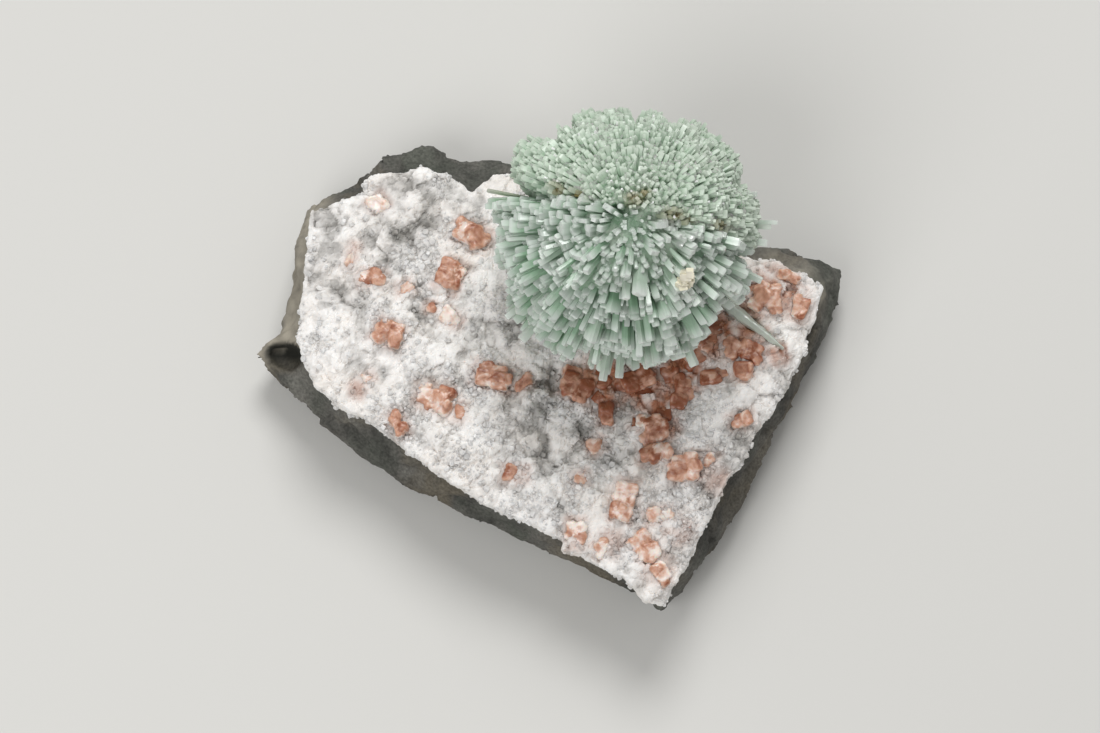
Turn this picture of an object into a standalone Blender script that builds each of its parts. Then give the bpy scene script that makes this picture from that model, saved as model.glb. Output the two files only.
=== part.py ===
# A mineral specimen: a ball of radiating scolecite prisms on a white heulandite crust
# with salmon stilbite crystals, on a flat piece of basalt.
# The origin is the middle of the slab's flat underside, with +Z up and +X along the slab.
# Sizes below are in millimetres, and MM turns them into metres where a mesh is made.

import math
import random

import bmesh
import bpy
from mathutils import Matrix, Vector, geometry, noise

MM = 0.001
GAP = 0.3

# Basalt slab. The outline is its widest one, seen from above, counterclockwise.
SLAB_OUTLINE = [
    (-45.8, 4.4), (-42.0, 0.2), (-37.0, -4.6), (-29.5, -11.2), (-22.0, -16.2), (-14.5, -20.0),
    (-6.0, -23.7), (3.0, -28.1), (11.3, -32.0), (17.3, -36.0), (20.9, -31.9), (26.4, -25.1),
    (32.0, -15.2), (34.7, -8.3), (37.8, -3.0), (42.4, 6.0), (44.9, 13.0), (45.9, 18.5),
    (43.1, 19.8), (36.8, 21.8), (30.8, 22.0), (20.6, 25.6), (7.9, 30.2), (-4.0, 34.7),
    (-8.6, 36.3), (-14.2, 36.3), (-19.4, 38.3), (-25.6, 36.0), (-32.6, 32.3), (-38.3, 28.7),
    (-39.8, 22.4), (-40.6, 15.0), (-42.7, 8.2),
]
SLAB_TOP = 14.7
SLAB_WIDEST_AT = 6.5
SLAB_BASE_INSET = 4.2
SLAB_STEP_DEG = 5.5
# Each ring: height, share of the way from the widest outline to the top one, inset, how
# far the share wanders into ledges, and how far the height wanders.
SLAB_RINGS = [
    (0.0, 0.0, SLAB_BASE_INSET, 0.0, 0.0),
    (1.4, 0.0, 2.2, 0.0, 0.9),
    (3.9, 0.0, 0.8, 0.0, 1.2),
    (SLAB_WIDEST_AT, 0.0, 0.0, 0.0, 0.6),
    (8.6, 0.25, 0.0, 0.7, 1.2),
    (10.4, 0.45, 0.0, 1.1, 1.2),
    (12.7, 0.75, 0.0, 0.8, 1.0),
    (SLAB_TOP, 1.0, 0.0, 0.0, 0.0),
]
SLAB_CHIP = 1.1
# How finely the ledges and the chips follow each other round the slab.
SLAB_LEDGE_PITCH = 4.0
SLAB_CHIP_PITCH = 16.0
SLAB_RISE_PITCH = 6.8
SLAB_LEVEL_PITCH = 0.4
SLAB_TOP_MARGIN = 0.5
HOLLOW_CENTRE = (-41.6, 3.6, 11.6)
HOLLOW_RADII = (3.5, 2.3, 4.4)
HOLLOW_TURN_DEG = -32

# Heulandite crust over the slab's top, with its outline counterclockwise.
CRUST_OUTLINE = [
    (-38.7, 4.7), (-37.9, 1.8), (-36.3, -2.5), (-32.4, -5.5), (-28.8, -7.5), (-22.8, -12.1),
    (-16.7, -16.8), (-7.2, -22.6), (1.1, -26.4), (4.6, -29.1), (11.1, -32.5), (14.6, -36.3),
    (17.3, -36.6), (19.1, -33.3), (23.6, -24.1), (28.9, -15.2), (33.3, -7.7), (36.6, -3.1),
    (39.4, 2.9), (41.5, 10.1), (42.1, 12.8), (40.1, 14.4), (34.4, 17.0), (31.0, 17.5),
    (20.2, 21.2), (7.8, 25.5), (-2.0, 28.9), (-6.1, 31.2), (-8.9, 30.7), (-12.1, 28.1),
    (-15.3, 30.4), (-20.1, 32.0), (-25.5, 30.9), (-29.0, 30.2), (-28.9, 28.0), (-33.3, 26.4),
    (-37.0, 25.1), (-37.5, 20.2), (-38.1, 16.2), (-38.2, 11.9),
]
CRUST_BOTTOM = SLAB_TOP + GAP
CRUST_TOP = 18.0
CRUST_EDGE_DROP = 1.0
CRUST_EDGE_RAGGED = 0.3
CRUST_EDGE_SWING = 0.35
CRUST_SPACING = 3.0
CRUST_SHIFT = 0.5
CRUST_REACH = 90.0
CRUST_LUMPS = [(9.0, 0.7), (3.6, 0.75), (1.7, 0.35)]
# Pits and swells of the crust: x, y, radius, and height (below zero for a pit).
CRUST_RELIEF = [
    (-28.5, 0.8, 3.4, -1.3), (-19.4, 21.6, 1.9, -1.5), (-20.4, 12.2, 2.0, -1.2),
    (-11.3, 6.6, 2.4, -1.1), (0.8, -1.9, 2.2, -1.2), (12.3, -6.4, 1.8, -1.6),
    (7.7, -11.6, 2.8, -1.0), (0.8, -14.9, 2.4, -0.9), (-33.4, 12.6, 2.2, -1.0),
    (23.4, -19.6, 1.8, -0.8), (33.2, -2.6, 1.9, -1.0), (-21.0, 28.2, 6.5, 1.0),
    (-8.0, 26.6, 4.5, 1.1), (36.2, 11.5, 6.5, 1.0), (-31.0, 7.5, 4.0, 0.7),
    (17.2, -34.6, 3.0, 0.6),
]

# Scolecite ball: crystal tips on a sphere round the centre, over a closed core. The crystals
# fan out from a point towards the back edge, so those at the front are the longest.
BALL_CENTRE = (11.6, 15.4, 35.0)
FAN_POINT = (12.1, 18.6, 35.8)
BALL_TIP_RADIUS = 19.9
BALL_TIP_VARIATION = 1.1
BALL_CORE_RADIUS = 16.4
BALL_CRYSTALS = 190
BALL_CRYSTAL_WIDTH = (2.2, 3.3)
BALL_CRYSTAL_FLATTEST = 0.7
BALL_CRYSTAL_ASIDE = 0.05
BALL_ROOT_DEPTH = 5.5
# The seam where the two sheaves meet is a plane that misses the centre a little.
SEAM_NORMAL = (0.235, 0.952, 0.196)
SEAM_OFFSET = 0.17
SEAM_WIDTH = 0.17
SEAM_DEPTH = 3.2
SEAM_EXTRA_DEPTH_LEFT = 2.6
SEAM_SHARE_IN_CORE = 0.7
SEAT_HEIGHT = CRUST_TOP
SEAT_RADIUS = 13.0
SEAT_BLEND = 4.0
GROUND_WIDTH = 90.0
GROUND_DEPTH = 40.0

# The loose scolecite blade at the ball's right, from end to end.
BLADE_START = (26.4, 10.4)
BLADE_END = (36.0, 2.7)
BLADE_WIDTH = 1.2
BLADE_HEIGHTS = (16.9, 20.0)
BLADE_EDGE_DROPS = (0.7, 0.25)
BLADE_RIDGE_OFFSET = 0.1

# Stilbite: x, y, length, width, height over the crust, turn in degrees, number of blocks.
STILBITES = [
    (-25.1, 5.2, 4.1, 3.4, 1.9, -25, 1), (-27.5, 14.1, 3.4, 2.3, 1.4, 10, 2),
    (-15.5, 14.3, 3.9, 3.4, 1.6, 70, 2), (-11.8, 20.7, 5.4, 2.8, 1.7, -20, 3),
    (-18.0, -4.8, 4.6, 4.0, 1.6, -15, 2), (-8.9, -1.6, 4.8, 2.9, 1.5, -15, 2),
    (-4.3, -2.8, 2.0, 1.7, 1.1, 35, 1), (-23.3, -9.0, 3.6, 1.7, 1.1, -65, 1),
    (-5.2, -17.0, 3.1, 1.8, 1.2, -5, 2), (3.8, -26.3, 4.0, 2.5, 1.3, 80, 2),
    (7.9, -28.2, 2.3, 2.0, 1.1, 30, 1), (14.4, -28.4, 4.2, 3.0, 1.4, -60, 2),
    (16.9, -32.4, 3.0, 2.1, 1.2, -60, 1), (16.0, -23.4, 2.3, 2.0, 1.3, 20, 1),
    (11.3, -21.1, 5.8, 2.8, 1.3, 75, 2), (20.6, -15.9, 4.4, 3.7, 2.0, 10, 2),
    (15.8, -11.1, 7.6, 3.9, 1.8, 100, 3), (8.6, -7.3, 4.1, 1.9, 1.9, 85, 1),
    (4.6, -3.1, 5.2, 3.5, 1.7, -40, 3), (13.6, -2.2, 4.4, 3.4, 1.3, 20, 2),
    (20.1, -4.2, 5.2, 2.0, 1.4, 75, 2), (30.0, 2.4, 6.4, 2.4, 1.5, -15, 3),
    (33.4, 10.6, 4.8, 4.1, 1.5, -20, 3), (36.8, 14.0, 3.6, 1.7, 1.3, -22, 1),
    (38.5, 9.0, 3.0, 2.1, 1.3, 70, 1), (29.4, -0.9, 2.7, 1.8, 1.3, -10, 1),
    (22.8, 3.4, 4.2, 2.9, 1.3, 50, 2), (29.4, -8.3, 3.6, 2.1, 1.0, 15, 1),
]
STILBITE_ROOT = 1.7
STILBITE_STEP = 0.4
STILBITE_INSET = 0.13
STILBITE_LEAN_DEG = 9
STILBITE_SWING_DEG = 16
STILBITE_OVERLAP = 1.45
STILBITE_SPREAD = 0.68
STILBITE_NARROWEST = 0.72
STILBITE_LOWEST = 0.75
STILBITE_TAPER = 1.3

BASALT = ("basalt", (0.075, 0.072, 0.064), 0.85)
HEULANDITE = ("heulandite", (0.83, 0.81, 0.78), 0.45)
SCOLECITE = ("scolecite", (0.50, 0.68, 0.58), 0.25)
STILBITE = ("stilbite", (0.62, 0.30, 0.18), 0.35)


def clear_scene():
    for old in list(bpy.data.objects):
        bpy.data.objects.remove(old)


def material_of(finish):
    name, colour, roughness = finish
    found = bpy.data.materials.get(name)
    if found:
        return found
    made = bpy.data.materials.new(name)
    made.use_nodes = True
    shader = made.node_tree.nodes["Principled BSDF"]
    shader.inputs["Base Color"].default_value = (*colour, 1.0)
    shader.inputs["Roughness"].default_value = roughness
    shader.inputs["Metallic"].default_value = 0.0
    return made


def object_from(bm, name, finish):
    """A new object from a bmesh in millimetres, which is freed."""
    bmesh.ops.recalc_face_normals(bm, faces=bm.faces)
    bmesh.ops.scale(bm, vec=(MM, MM, MM), verts=bm.verts)
    mesh = bpy.data.meshes.new(name)
    bm.to_mesh(mesh)
    bm.free()
    mesh.materials.append(material_of(finish))
    made = bpy.data.objects.new(name, mesh)
    bpy.context.scene.collection.objects.link(made)
    return made


def combine(body, tool, operation, self_overlap=False):
    """Applies one exact Boolean to body and removes the tool."""
    cut = body.modifiers.new("combine", "BOOLEAN")
    cut.operation = operation
    cut.object = tool
    cut.solver = "EXACT"
    cut.use_self = self_overlap
    graph = bpy.context.evaluated_depsgraph_get()
    result = bpy.data.meshes.new_from_object(body.evaluated_get(graph))
    body.modifiers.clear()
    body.data = result
    bpy.data.objects.remove(tool)


def loft(bm, rings):
    """A closed body through rings of the same number of points, with a flat cap at each end."""
    loops = [[bm.verts.new(point) for point in ring] for ring in rings]
    for low, high in zip(loops, loops[1:]):
        for i in range(len(low)):
            j = (i + 1) % len(low)
            bm.faces.new((low[i], low[j], high[j], high[i]))
    bm.faces.new(loops[0])
    bm.faces.new(loops[-1])


def radius_at(outline, angle):
    """How far the outline is from the origin along a ray at this angle."""
    ray = Vector((math.cos(angle), math.sin(angle)))
    far = ray * 200.0
    found = 0.0
    for start, end in zip(outline, outline[1:] + outline[:1]):
        hit = geometry.intersect_line_line_2d(Vector((0, 0)), far, Vector(start), Vector(end))
        if hit:
            found = max(found, hit.length)
    return found


def slab_angles():
    """The corners' own angles, and steps between those that are far apart."""
    corners = sorted(math.atan2(y, x) for x, y in SLAB_OUTLINE)
    angles = []
    for low, high in zip(corners, corners[1:] + [corners[0] + math.tau]):
        steps = max(1, round(math.degrees(high - low) / SLAB_STEP_DEG))
        angles += [low + (high - low) * i / steps for i in range(steps)]
    return angles


def make_slab():
    """Rings of points from the flat underside up to the flat top, with broken facets between."""
    angles = slab_angles()
    rings = []
    for level, share, inset, ledge, rise in SLAB_RINGS:
        chip = 0.0 if level in (SLAB_WIDEST_AT, SLAB_TOP) else SLAB_CHIP
        ring = []
        for angle in angles:
            wide = radius_at(SLAB_OUTLINE, angle)
            top = radius_at(CRUST_OUTLINE, angle) - SLAB_TOP_MARGIN
            spot = Vector((math.cos(angle), math.sin(angle), level * SLAB_LEVEL_PITCH / SLAB_LEDGE_PITCH))
            way = min(1.0, max(0.0, share + ledge * noise.noise(spot * SLAB_LEDGE_PITCH)))
            radius = wide + (top - wide) * way - inset + chip * noise.noise(spot * SLAB_CHIP_PITCH)
            height = level + rise * noise.noise(spot * SLAB_RISE_PITCH)
            ring.append((radius * math.cos(angle), radius * math.sin(angle), height))
        rings.append(ring)
    bm = bmesh.new()
    loft(bm, rings)
    slab = object_from(bm, "basalt_matrix", BASALT)
    combine(slab, make_hollow(), "DIFFERENCE")
    return slab


def make_hollow():
    """The scoop in the slab's left tip."""
    bm = bmesh.new()
    bmesh.ops.create_icosphere(bm, subdivisions=2, radius=1.0)
    place = Matrix.Translation(HOLLOW_CENTRE) @ Matrix.Rotation(math.radians(HOLLOW_TURN_DEG), 4, "Z")
    bmesh.ops.transform(bm, matrix=place @ Matrix.Diagonal((*HOLLOW_RADII, 1.0)), verts=bm.verts)
    return object_from(bm, "hollow", BASALT)


def crust_height(x, y):
    """Height of the crust's top at a point, in millimetres."""
    height = CRUST_TOP
    for size, swing in CRUST_LUMPS:
        height += swing * noise.noise(Vector((x / size, y / size, size)))
    for pit_x, pit_y, radius, rise in CRUST_RELIEF:
        away = math.hypot(x - pit_x, y - pit_y) / radius
        height += rise * math.exp(-away * away)
    from_ball = math.hypot(x - BALL_CENTRE[0], y - BALL_CENTRE[1])
    free = min(1.0, max(0.0, (from_ball - SEAT_RADIUS) / SEAT_BLEND))
    return SEAT_HEIGHT + (height - SEAT_HEIGHT) * free


def ragged_outline(outline, spacing, swing, chance):
    """The outline with points no further apart than the spacing, moved a little in and out."""
    made = []
    for start, end in zip(outline, outline[1:] + outline[:1]):
        a, b = Vector(start), Vector(end)
        steps = max(1, round((b - a).length / spacing))
        side = Vector((b.y - a.y, a.x - b.x)).normalized()
        for i in range(steps):
            shift = 0.0 if i == 0 else chance.uniform(-swing, swing)
            made.append(a.lerp(b, i / steps) + side * shift)
    return made


def inside(point, outline, margin):
    """Whether the point is inside the outline, and at least margin away from it."""
    crossings = 0
    for a, b in zip(outline, outline[1:] + outline[:1]):
        near, share = geometry.intersect_point_line(point, a, b)
        share = min(1.0, max(0.0, share))
        if (a.lerp(b, share) - point).length < margin:
            return False
        if (a.y > point.y) != (b.y > point.y):
            crossings += point.x < a.x + (point.y - a.y) * (b.x - a.x) / (b.y - a.y)
    return crossings % 2 == 1


def make_crust():
    """A lumpy sheet: a triangulated top, short ragged sides and a flat bottom."""
    chance = random.Random(11)
    edge = ragged_outline(CRUST_OUTLINE, CRUST_SPACING * 0.9, CRUST_EDGE_SWING, chance)
    points = list(edge)
    rows = math.ceil(CRUST_REACH / CRUST_SPACING)
    for row in range(-rows, rows):
        for column in range(-rows, rows):
            spot = Vector(((column + 0.5 * (row % 2)) * CRUST_SPACING, row * CRUST_SPACING * 0.866))
            spot += Vector([chance.uniform(-CRUST_SHIFT, CRUST_SHIFT) for _ in range(2)])
            if inside(spot, edge, CRUST_SPACING * 0.5):
                points.append(spot)
    border = list(range(len(edge)))
    flat, _, faces, origins, *_ = geometry.delaunay_2d_cdt(points, [], [border], 1, 1e-5)
    bm = bmesh.new()
    top = []
    for spot, came_from in zip(flat, origins):
        on_edge = any(i < len(edge) for i in came_from)
        ragged = chance.uniform(-CRUST_EDGE_RAGGED, CRUST_EDGE_RAGGED)
        drop = CRUST_EDGE_DROP + ragged if on_edge else 0.0
        top.append(bm.verts.new((spot.x, spot.y, crust_height(spot.x, spot.y) - drop)))
    for face in faces:
        bm.faces.new([top[i] for i in face])
    rim = [e for e in bm.edges if e.is_boundary]
    lowered = bmesh.ops.extrude_edge_only(bm, edges=rim)["geom"]
    for vertex in (v for v in lowered if isinstance(v, bmesh.types.BMVert)):
        vertex.co.z = CRUST_BOTTOM
    bottom = [e for e in bm.edges if e.is_boundary]
    bmesh.ops.contextual_create(bm, geom=bottom)
    return object_from(bm, "heulandite_crust", HEULANDITE)


def ball_directions(chance):
    """Even directions over a sphere, each turned aside a little."""
    golden = math.pi * (3 - math.sqrt(5))
    for i in range(BALL_CRYSTALS):
        z = 1 - 2 * (i + 0.5) / BALL_CRYSTALS
        flat = math.sqrt(1 - z * z)
        even = Vector((flat * math.cos(i * golden), flat * math.sin(i * golden), z))
        aside = Vector([chance.uniform(-BALL_CRYSTAL_ASIDE, BALL_CRYSTAL_ASIDE) for _ in range(3)])
        yield (even + aside).normalized()


def seam_cut(direction):
    """How much shorter a crystal is for being near the seam between the two sheaves."""
    off = (direction.dot(Vector(SEAM_NORMAL)) - SEAM_OFFSET) / SEAM_WIDTH
    left = max(0.0, -direction.x)
    return (SEAM_DEPTH + SEAM_EXTRA_DEPTH_LEFT * left) * math.exp(-off * off)


def add_prism(bm, tip, length, width, depth, twist):
    """One square crystal with flat faces and a flat end, which points away from the fan point."""
    fan = (tip - Vector(FAN_POINT)).normalized()
    turn = fan.to_track_quat("Z", "Y").to_matrix().to_4x4() @ Matrix.Rotation(twist, 4, "Z")
    place = Matrix.Translation(tip - fan * length / 2) @ turn
    bmesh.ops.create_cube(bm, size=1.0, matrix=place @ Matrix.Diagonal((width, depth, length, 1.0)))


def make_ball():
    """The crystals joined to the core, and cut off flat where the ball stands on the crust."""
    chance = random.Random(23)
    bm = bmesh.new()
    for direction in ball_directions(chance):
        radius = BALL_TIP_RADIUS + chance.uniform(-1, 1) * BALL_TIP_VARIATION - seam_cut(direction)
        length = radius - BALL_CORE_RADIUS + BALL_ROOT_DEPTH
        width = chance.uniform(*BALL_CRYSTAL_WIDTH)
        depth = width * chance.uniform(BALL_CRYSTAL_FLATTEST, 1.0)
        twist = chance.uniform(0, math.pi)
        add_prism(bm, Vector(BALL_CENTRE) + direction * radius, length, width, depth, twist)
    crystals = object_from(bm, "crystals", SCOLECITE)
    bm = bmesh.new()
    bmesh.ops.create_icosphere(bm, subdivisions=2, radius=BALL_CORE_RADIUS)
    for vertex in bm.verts:
        groove = SEAM_SHARE_IN_CORE * seam_cut(vertex.co.normalized())
        vertex.co *= 1 - groove / BALL_CORE_RADIUS
    bmesh.ops.translate(bm, vec=BALL_CENTRE, verts=bm.verts)
    ball = object_from(bm, "scolecite_ball", SCOLECITE)
    combine(ball, crystals, "UNION", self_overlap=True)
    combine(ball, make_ground(), "DIFFERENCE")
    return ball


def make_ground():
    """A block that takes away what would reach into the crust under the ball."""
    bm = bmesh.new()
    top = SEAT_HEIGHT + GAP
    place = Matrix.Translation((BALL_CENTRE[0], BALL_CENTRE[1], top - GROUND_DEPTH / 2))
    size = Matrix.Diagonal((GROUND_WIDTH, GROUND_WIDTH, GROUND_DEPTH, 1.0))
    bmesh.ops.create_cube(bm, size=1.0, matrix=place @ size)
    return object_from(bm, "ground", SCOLECITE)


def blade_block(grow):
    """The blade's long block with a chisel edge, each side grown by so much."""
    start, end = Vector(BLADE_START), Vector(BLADE_END)
    along = end - start
    length = along.length + 2 * grow
    half = BLADE_WIDTH / 2 + grow
    low, high = BLADE_HEIGHTS[0] - grow, BLADE_HEIGHTS[1] + grow
    right, left = (high - drop for drop in BLADE_EDGE_DROPS)
    profile = [(-half, low), (half, low), (half, right), (BLADE_RIDGE_OFFSET, high), (-half, left)]
    bm = bmesh.new()
    loft(bm, [[(x, y, z) for y, z in profile] for x in (-length / 2, length / 2)])
    middle = (start + end) / 2
    turn = Matrix.Rotation(math.atan2(along.y, along.x), 4, "Z")
    bmesh.ops.transform(bm, matrix=Matrix.Translation((*middle, 0)) @ turn, verts=bm.verts)
    return object_from(bm, "scolecite_blade", SCOLECITE)


def plate(x, y, z):
    """The corners of a rectangle with these half sizes, at height z."""
    return [(-x, -y, z), (x, -y, z), (x, y, z), (-x, y, z)]


def stilbite_block(name, place, length, width, height, grow):
    """One crystal with a smaller plate on its top, or the plain block that cuts its pocket."""
    x, y = length / 2 + grow, width / 2 + grow
    rings = [plate(x, y, -STILBITE_ROOT - grow)]
    if grow:
        rings.append(plate(x, y, height + grow))
    else:
        step = height - STILBITE_STEP
        inset = STILBITE_INSET * width
        rings += [plate(x, y, step), plate(x - inset, y - inset, step)]
        rings.append(plate(x - inset * STILBITE_TAPER, y - inset * STILBITE_TAPER, height))
    bm = bmesh.new()
    loft(bm, rings)
    bmesh.ops.transform(bm, matrix=place, verts=bm.verts)
    return object_from(bm, name, STILBITE)


def stilbite_group(name, spec, grow):
    """A crystal group: one block, or two or three that lean apart and are joined."""
    x, y, length, width, height, turn, blocks = spec
    chance = random.Random(round(x * 10) + 7 * round(y * 10))
    base = Matrix.Translation((x, y, crust_height(x, y)))
    base = base @ Matrix.Rotation(math.radians(turn), 4, "Z")
    made = None
    for i in range(blocks):
        share = (i + 0.5) / blocks - 0.5
        long_side = length / blocks * (STILBITE_OVERLAP if blocks > 1 else 1.0)
        lean = math.radians(chance.uniform(-STILBITE_LEAN_DEG, STILBITE_LEAN_DEG))
        roll = math.radians(chance.uniform(-STILBITE_LEAN_DEG, STILBITE_LEAN_DEG))
        aside = chance.uniform(-STILBITE_SWING_DEG, STILBITE_SWING_DEG) if blocks > 1 else 0.0
        swing = math.radians(aside)
        place = base @ Matrix.Translation((share * length * STILBITE_SPREAD, 0, 0))
        place = place @ Matrix.Rotation(swing, 4, "Z")
        place = place @ Matrix.Rotation(lean, 4, "Y") @ Matrix.Rotation(roll, 4, "X")
        wide = width * chance.uniform(STILBITE_NARROWEST, 1.0)
        tall = height * chance.uniform(STILBITE_LOWEST, 1.0)
        block = stilbite_block(name, place, long_side, wide, tall, grow)
        if made is None:
            made = block
        else:
            combine(made, block, "UNION")
    return made


def main():
    clear_scene()
    make_slab()
    crust = make_crust()
    blade_block(0.0)
    combine(crust, blade_block(GAP), "DIFFERENCE")
    for number, spec in enumerate(STILBITES, 1):
        stilbite_group(f"stilbite_{number:02d}", spec, 0.0)
        combine(crust, stilbite_group("pocket", spec, GAP), "DIFFERENCE")
    make_ball()


main()
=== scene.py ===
# Looks of a scolecite ball on a white heulandite crust over basalt, with salmon stilbite.
import math
import random

import bmesh
import bpy
import numpy as np
from mathutils import Matrix, Vector, noise
from mathutils.bvhtree import BVHTree
from mathutils.kdtree import KDTree


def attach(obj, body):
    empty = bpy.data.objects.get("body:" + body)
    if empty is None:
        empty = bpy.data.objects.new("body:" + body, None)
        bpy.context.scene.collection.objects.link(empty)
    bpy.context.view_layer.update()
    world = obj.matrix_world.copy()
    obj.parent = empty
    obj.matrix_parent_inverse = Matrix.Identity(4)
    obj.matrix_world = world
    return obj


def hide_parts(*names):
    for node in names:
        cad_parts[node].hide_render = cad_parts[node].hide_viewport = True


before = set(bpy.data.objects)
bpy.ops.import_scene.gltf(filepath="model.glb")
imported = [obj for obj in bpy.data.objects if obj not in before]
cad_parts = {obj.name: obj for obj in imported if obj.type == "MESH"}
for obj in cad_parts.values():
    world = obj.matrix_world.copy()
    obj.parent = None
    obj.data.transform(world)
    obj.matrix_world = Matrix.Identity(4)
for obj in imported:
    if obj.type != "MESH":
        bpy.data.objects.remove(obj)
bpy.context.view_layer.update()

mm = 0.001  # every size below is in millimetres


# Camera: the photo's view, from above and a little to the front
camera = {
    "aim": (0.0, 0.0, 18.0),
    "distance": 620.0,
    "elevation": 76.0,  # degrees above the floor
    "lens": 131.9, "sensor": 36.0,
    "clip": (0.01, 20.0),  # in metres
}

aim = Vector(camera["aim"]) * mm
tilt = math.radians(camera["elevation"])
eye = aim + Vector((0.0, -math.cos(tilt), math.sin(tilt))) * camera["distance"] * mm
lensData = bpy.data.cameras.new("camera")
lensData.lens = camera["lens"]
lensData.sensor_width = camera["sensor"]
lensData.clip_start, lensData.clip_end = camera["clip"]
cameraObject = bpy.data.objects.new("camera", lensData)
cameraObject.location = eye
cameraObject.rotation_euler = (aim - eye).to_track_quat("-Z", "Y").to_euler()
bpy.context.scene.collection.objects.link(cameraObject)
bpy.context.scene.camera = cameraObject
print("camera set")


# Small helpers
def toLinear(hexText):
    channels = [int(hexText[i:i + 2], 16) / 255 for i in (1, 3, 5)]
    linear = [c / 12.92 if c <= 0.04045 else ((c + 0.055) / 1.055) ** 2.4 for c in channels]
    return (*linear, 1.0)


def clamp(value):
    return min(1.0, max(0.0, value))


def shaken(chance, spread):
    # a small step in any direction
    return Vector([chance.gauss(0, spread) for _ in range(3)])


def addNode(tree, kind, inputs=None, links=None, **settings):
    # a node with its settings, its input values and what is linked into it
    node = tree.nodes.new(kind)
    for name, value in settings.items():
        setattr(node, name, value)
    for socket, value in (inputs or {}).items():
        node.inputs[socket].default_value = value
    for socket, source in (links or {}).items():
        tree.links.new(source, node.inputs[socket])
    return node


def newMaterial(name):
    made = bpy.data.materials.new(name)
    made.use_nodes = True
    made.node_tree.nodes.clear()
    return made, made.node_tree


def perSize(size):
    # the scale of a noise whose features are this many millimetres across
    return 1.0 / (size * mm)


def newPiece(name, mesh, material=None):
    made = bpy.data.objects.new(name, mesh)
    bpy.context.scene.collection.objects.link(made)
    if material:
        mesh.materials.clear()
        mesh.materials.append(material)
    return made


def meshFrom(bm, name):
    mesh = bpy.data.meshes.new(name)
    bm.to_mesh(mesh)
    bm.free()
    return mesh


def evaluated(piece):
    # the piece as a plain mesh, with its modifiers used up
    graph = bpy.context.evaluated_depsgraph_get()
    mesh = bpy.data.meshes.new_from_object(piece.evaluated_get(graph))
    piece.modifiers.clear()
    piece.data = mesh
    return piece


def remesh(piece, voxel):
    change = piece.modifiers.new("remesh", "REMESH")
    change.mode = "VOXEL"
    change.voxel_size = voxel * mm
    return evaluated(piece)


def mergedCopy(nodeName):
    # a CAD node's triangles, joined up
    bm = bmesh.new()
    bm.from_mesh(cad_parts[nodeName].data)
    bmesh.ops.remove_doubles(bm, verts=bm.verts, dist=1e-6)
    return bm


def pointsOf(mesh):
    flat = np.empty(len(mesh.vertices) * 3, np.float32)
    mesh.vertices.foreach_get("co", flat)
    return flat.reshape(-1, 3).astype(float) / mm


def normalsOf(mesh):
    flat = np.empty(len(mesh.vertices) * 3, np.float32)
    mesh.vertices.foreach_get("normal", flat)
    return flat.reshape(-1, 3).astype(float)


def awayFrom(points, x, y, radius):
    # how far each point is from a spot, seen from above and counted in radii
    return np.hypot(points[:, 0] - x, points[:, 1] - y) / radius


def setPoints(mesh, points):
    mesh.vertices.foreach_set("co", (points * mm).astype(np.float32).ravel())
    mesh.update()


def setAttribute(mesh, name, values, kind="FLOAT", domain="POINT"):
    attribute = mesh.attributes.get(name) or mesh.attributes.new(name, kind, domain)
    channel = "vector" if kind == "FLOAT_VECTOR" else "value"
    attribute.data.foreach_set(channel, np.asarray(values).ravel())


def smoothNoise(points, size, offset=0.0):
    # from about -1 to 1, with features of this size
    scaled = points / size + offset
    return np.array([noise.noise(Vector(spot)) for spot in scaled]) * 1.6


def hashed(cells, salt):
    # a number from 0 to 1 for each whole-number cell, always the same
    mixed = cells[..., 0] * 73856093 ^ cells[..., 1] * 19349663 ^ cells[..., 2] * 83492791
    mixed = (mixed ^ salt * 374761393) * 668265263
    mixed = (mixed ^ (mixed >> 13)) * 1274126177
    return ((mixed ^ (mixed >> 16)) & 0xFFFFFF) / 0xFFFFFF


def nearestCells(points, size, salt):
    # each point's nearest cell centre in a scattered grid: cell, offset, distance, next distance
    grid = points / size
    base = np.floor(grid).astype(np.int64)
    near = np.full(len(points), 9.0)
    following = near.copy()
    home = np.zeros((len(points), 3), np.int64)
    away = np.zeros((len(points), 3))
    for step in np.ndindex(3, 3, 3):
        cell = base + np.array(step) - 1
        centre = cell + np.stack([hashed(cell, salt + k) for k in range(3)], axis=-1)
        offset = grid - centre
        distance = np.linalg.norm(offset, axis=-1)
        closer = distance < near
        following = np.where(closer, near, np.minimum(following, distance))
        near = np.where(closer, distance, near)
        home[closer] = cell[closer]
        away[closer] = offset[closer]
    return home, away, near, following


def facets(points, size, slope, salt):
    # flat tilted faces with steps between them, from about -1 to 1
    home, away, _, _ = nearestCells(points, size, salt)
    level = hashed(home, salt + 5) * 2 - 1
    tilt = np.stack([hashed(home, salt + 6 + k) * 2 - 1 for k in range(3)], axis=-1)
    return level * 0.6 + slope * (away * tilt).sum(axis=-1)


def finishPiece(piece, slotName, *nodes):
    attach(piece, "root")
    if nodes:
        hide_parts(*nodes)


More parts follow.
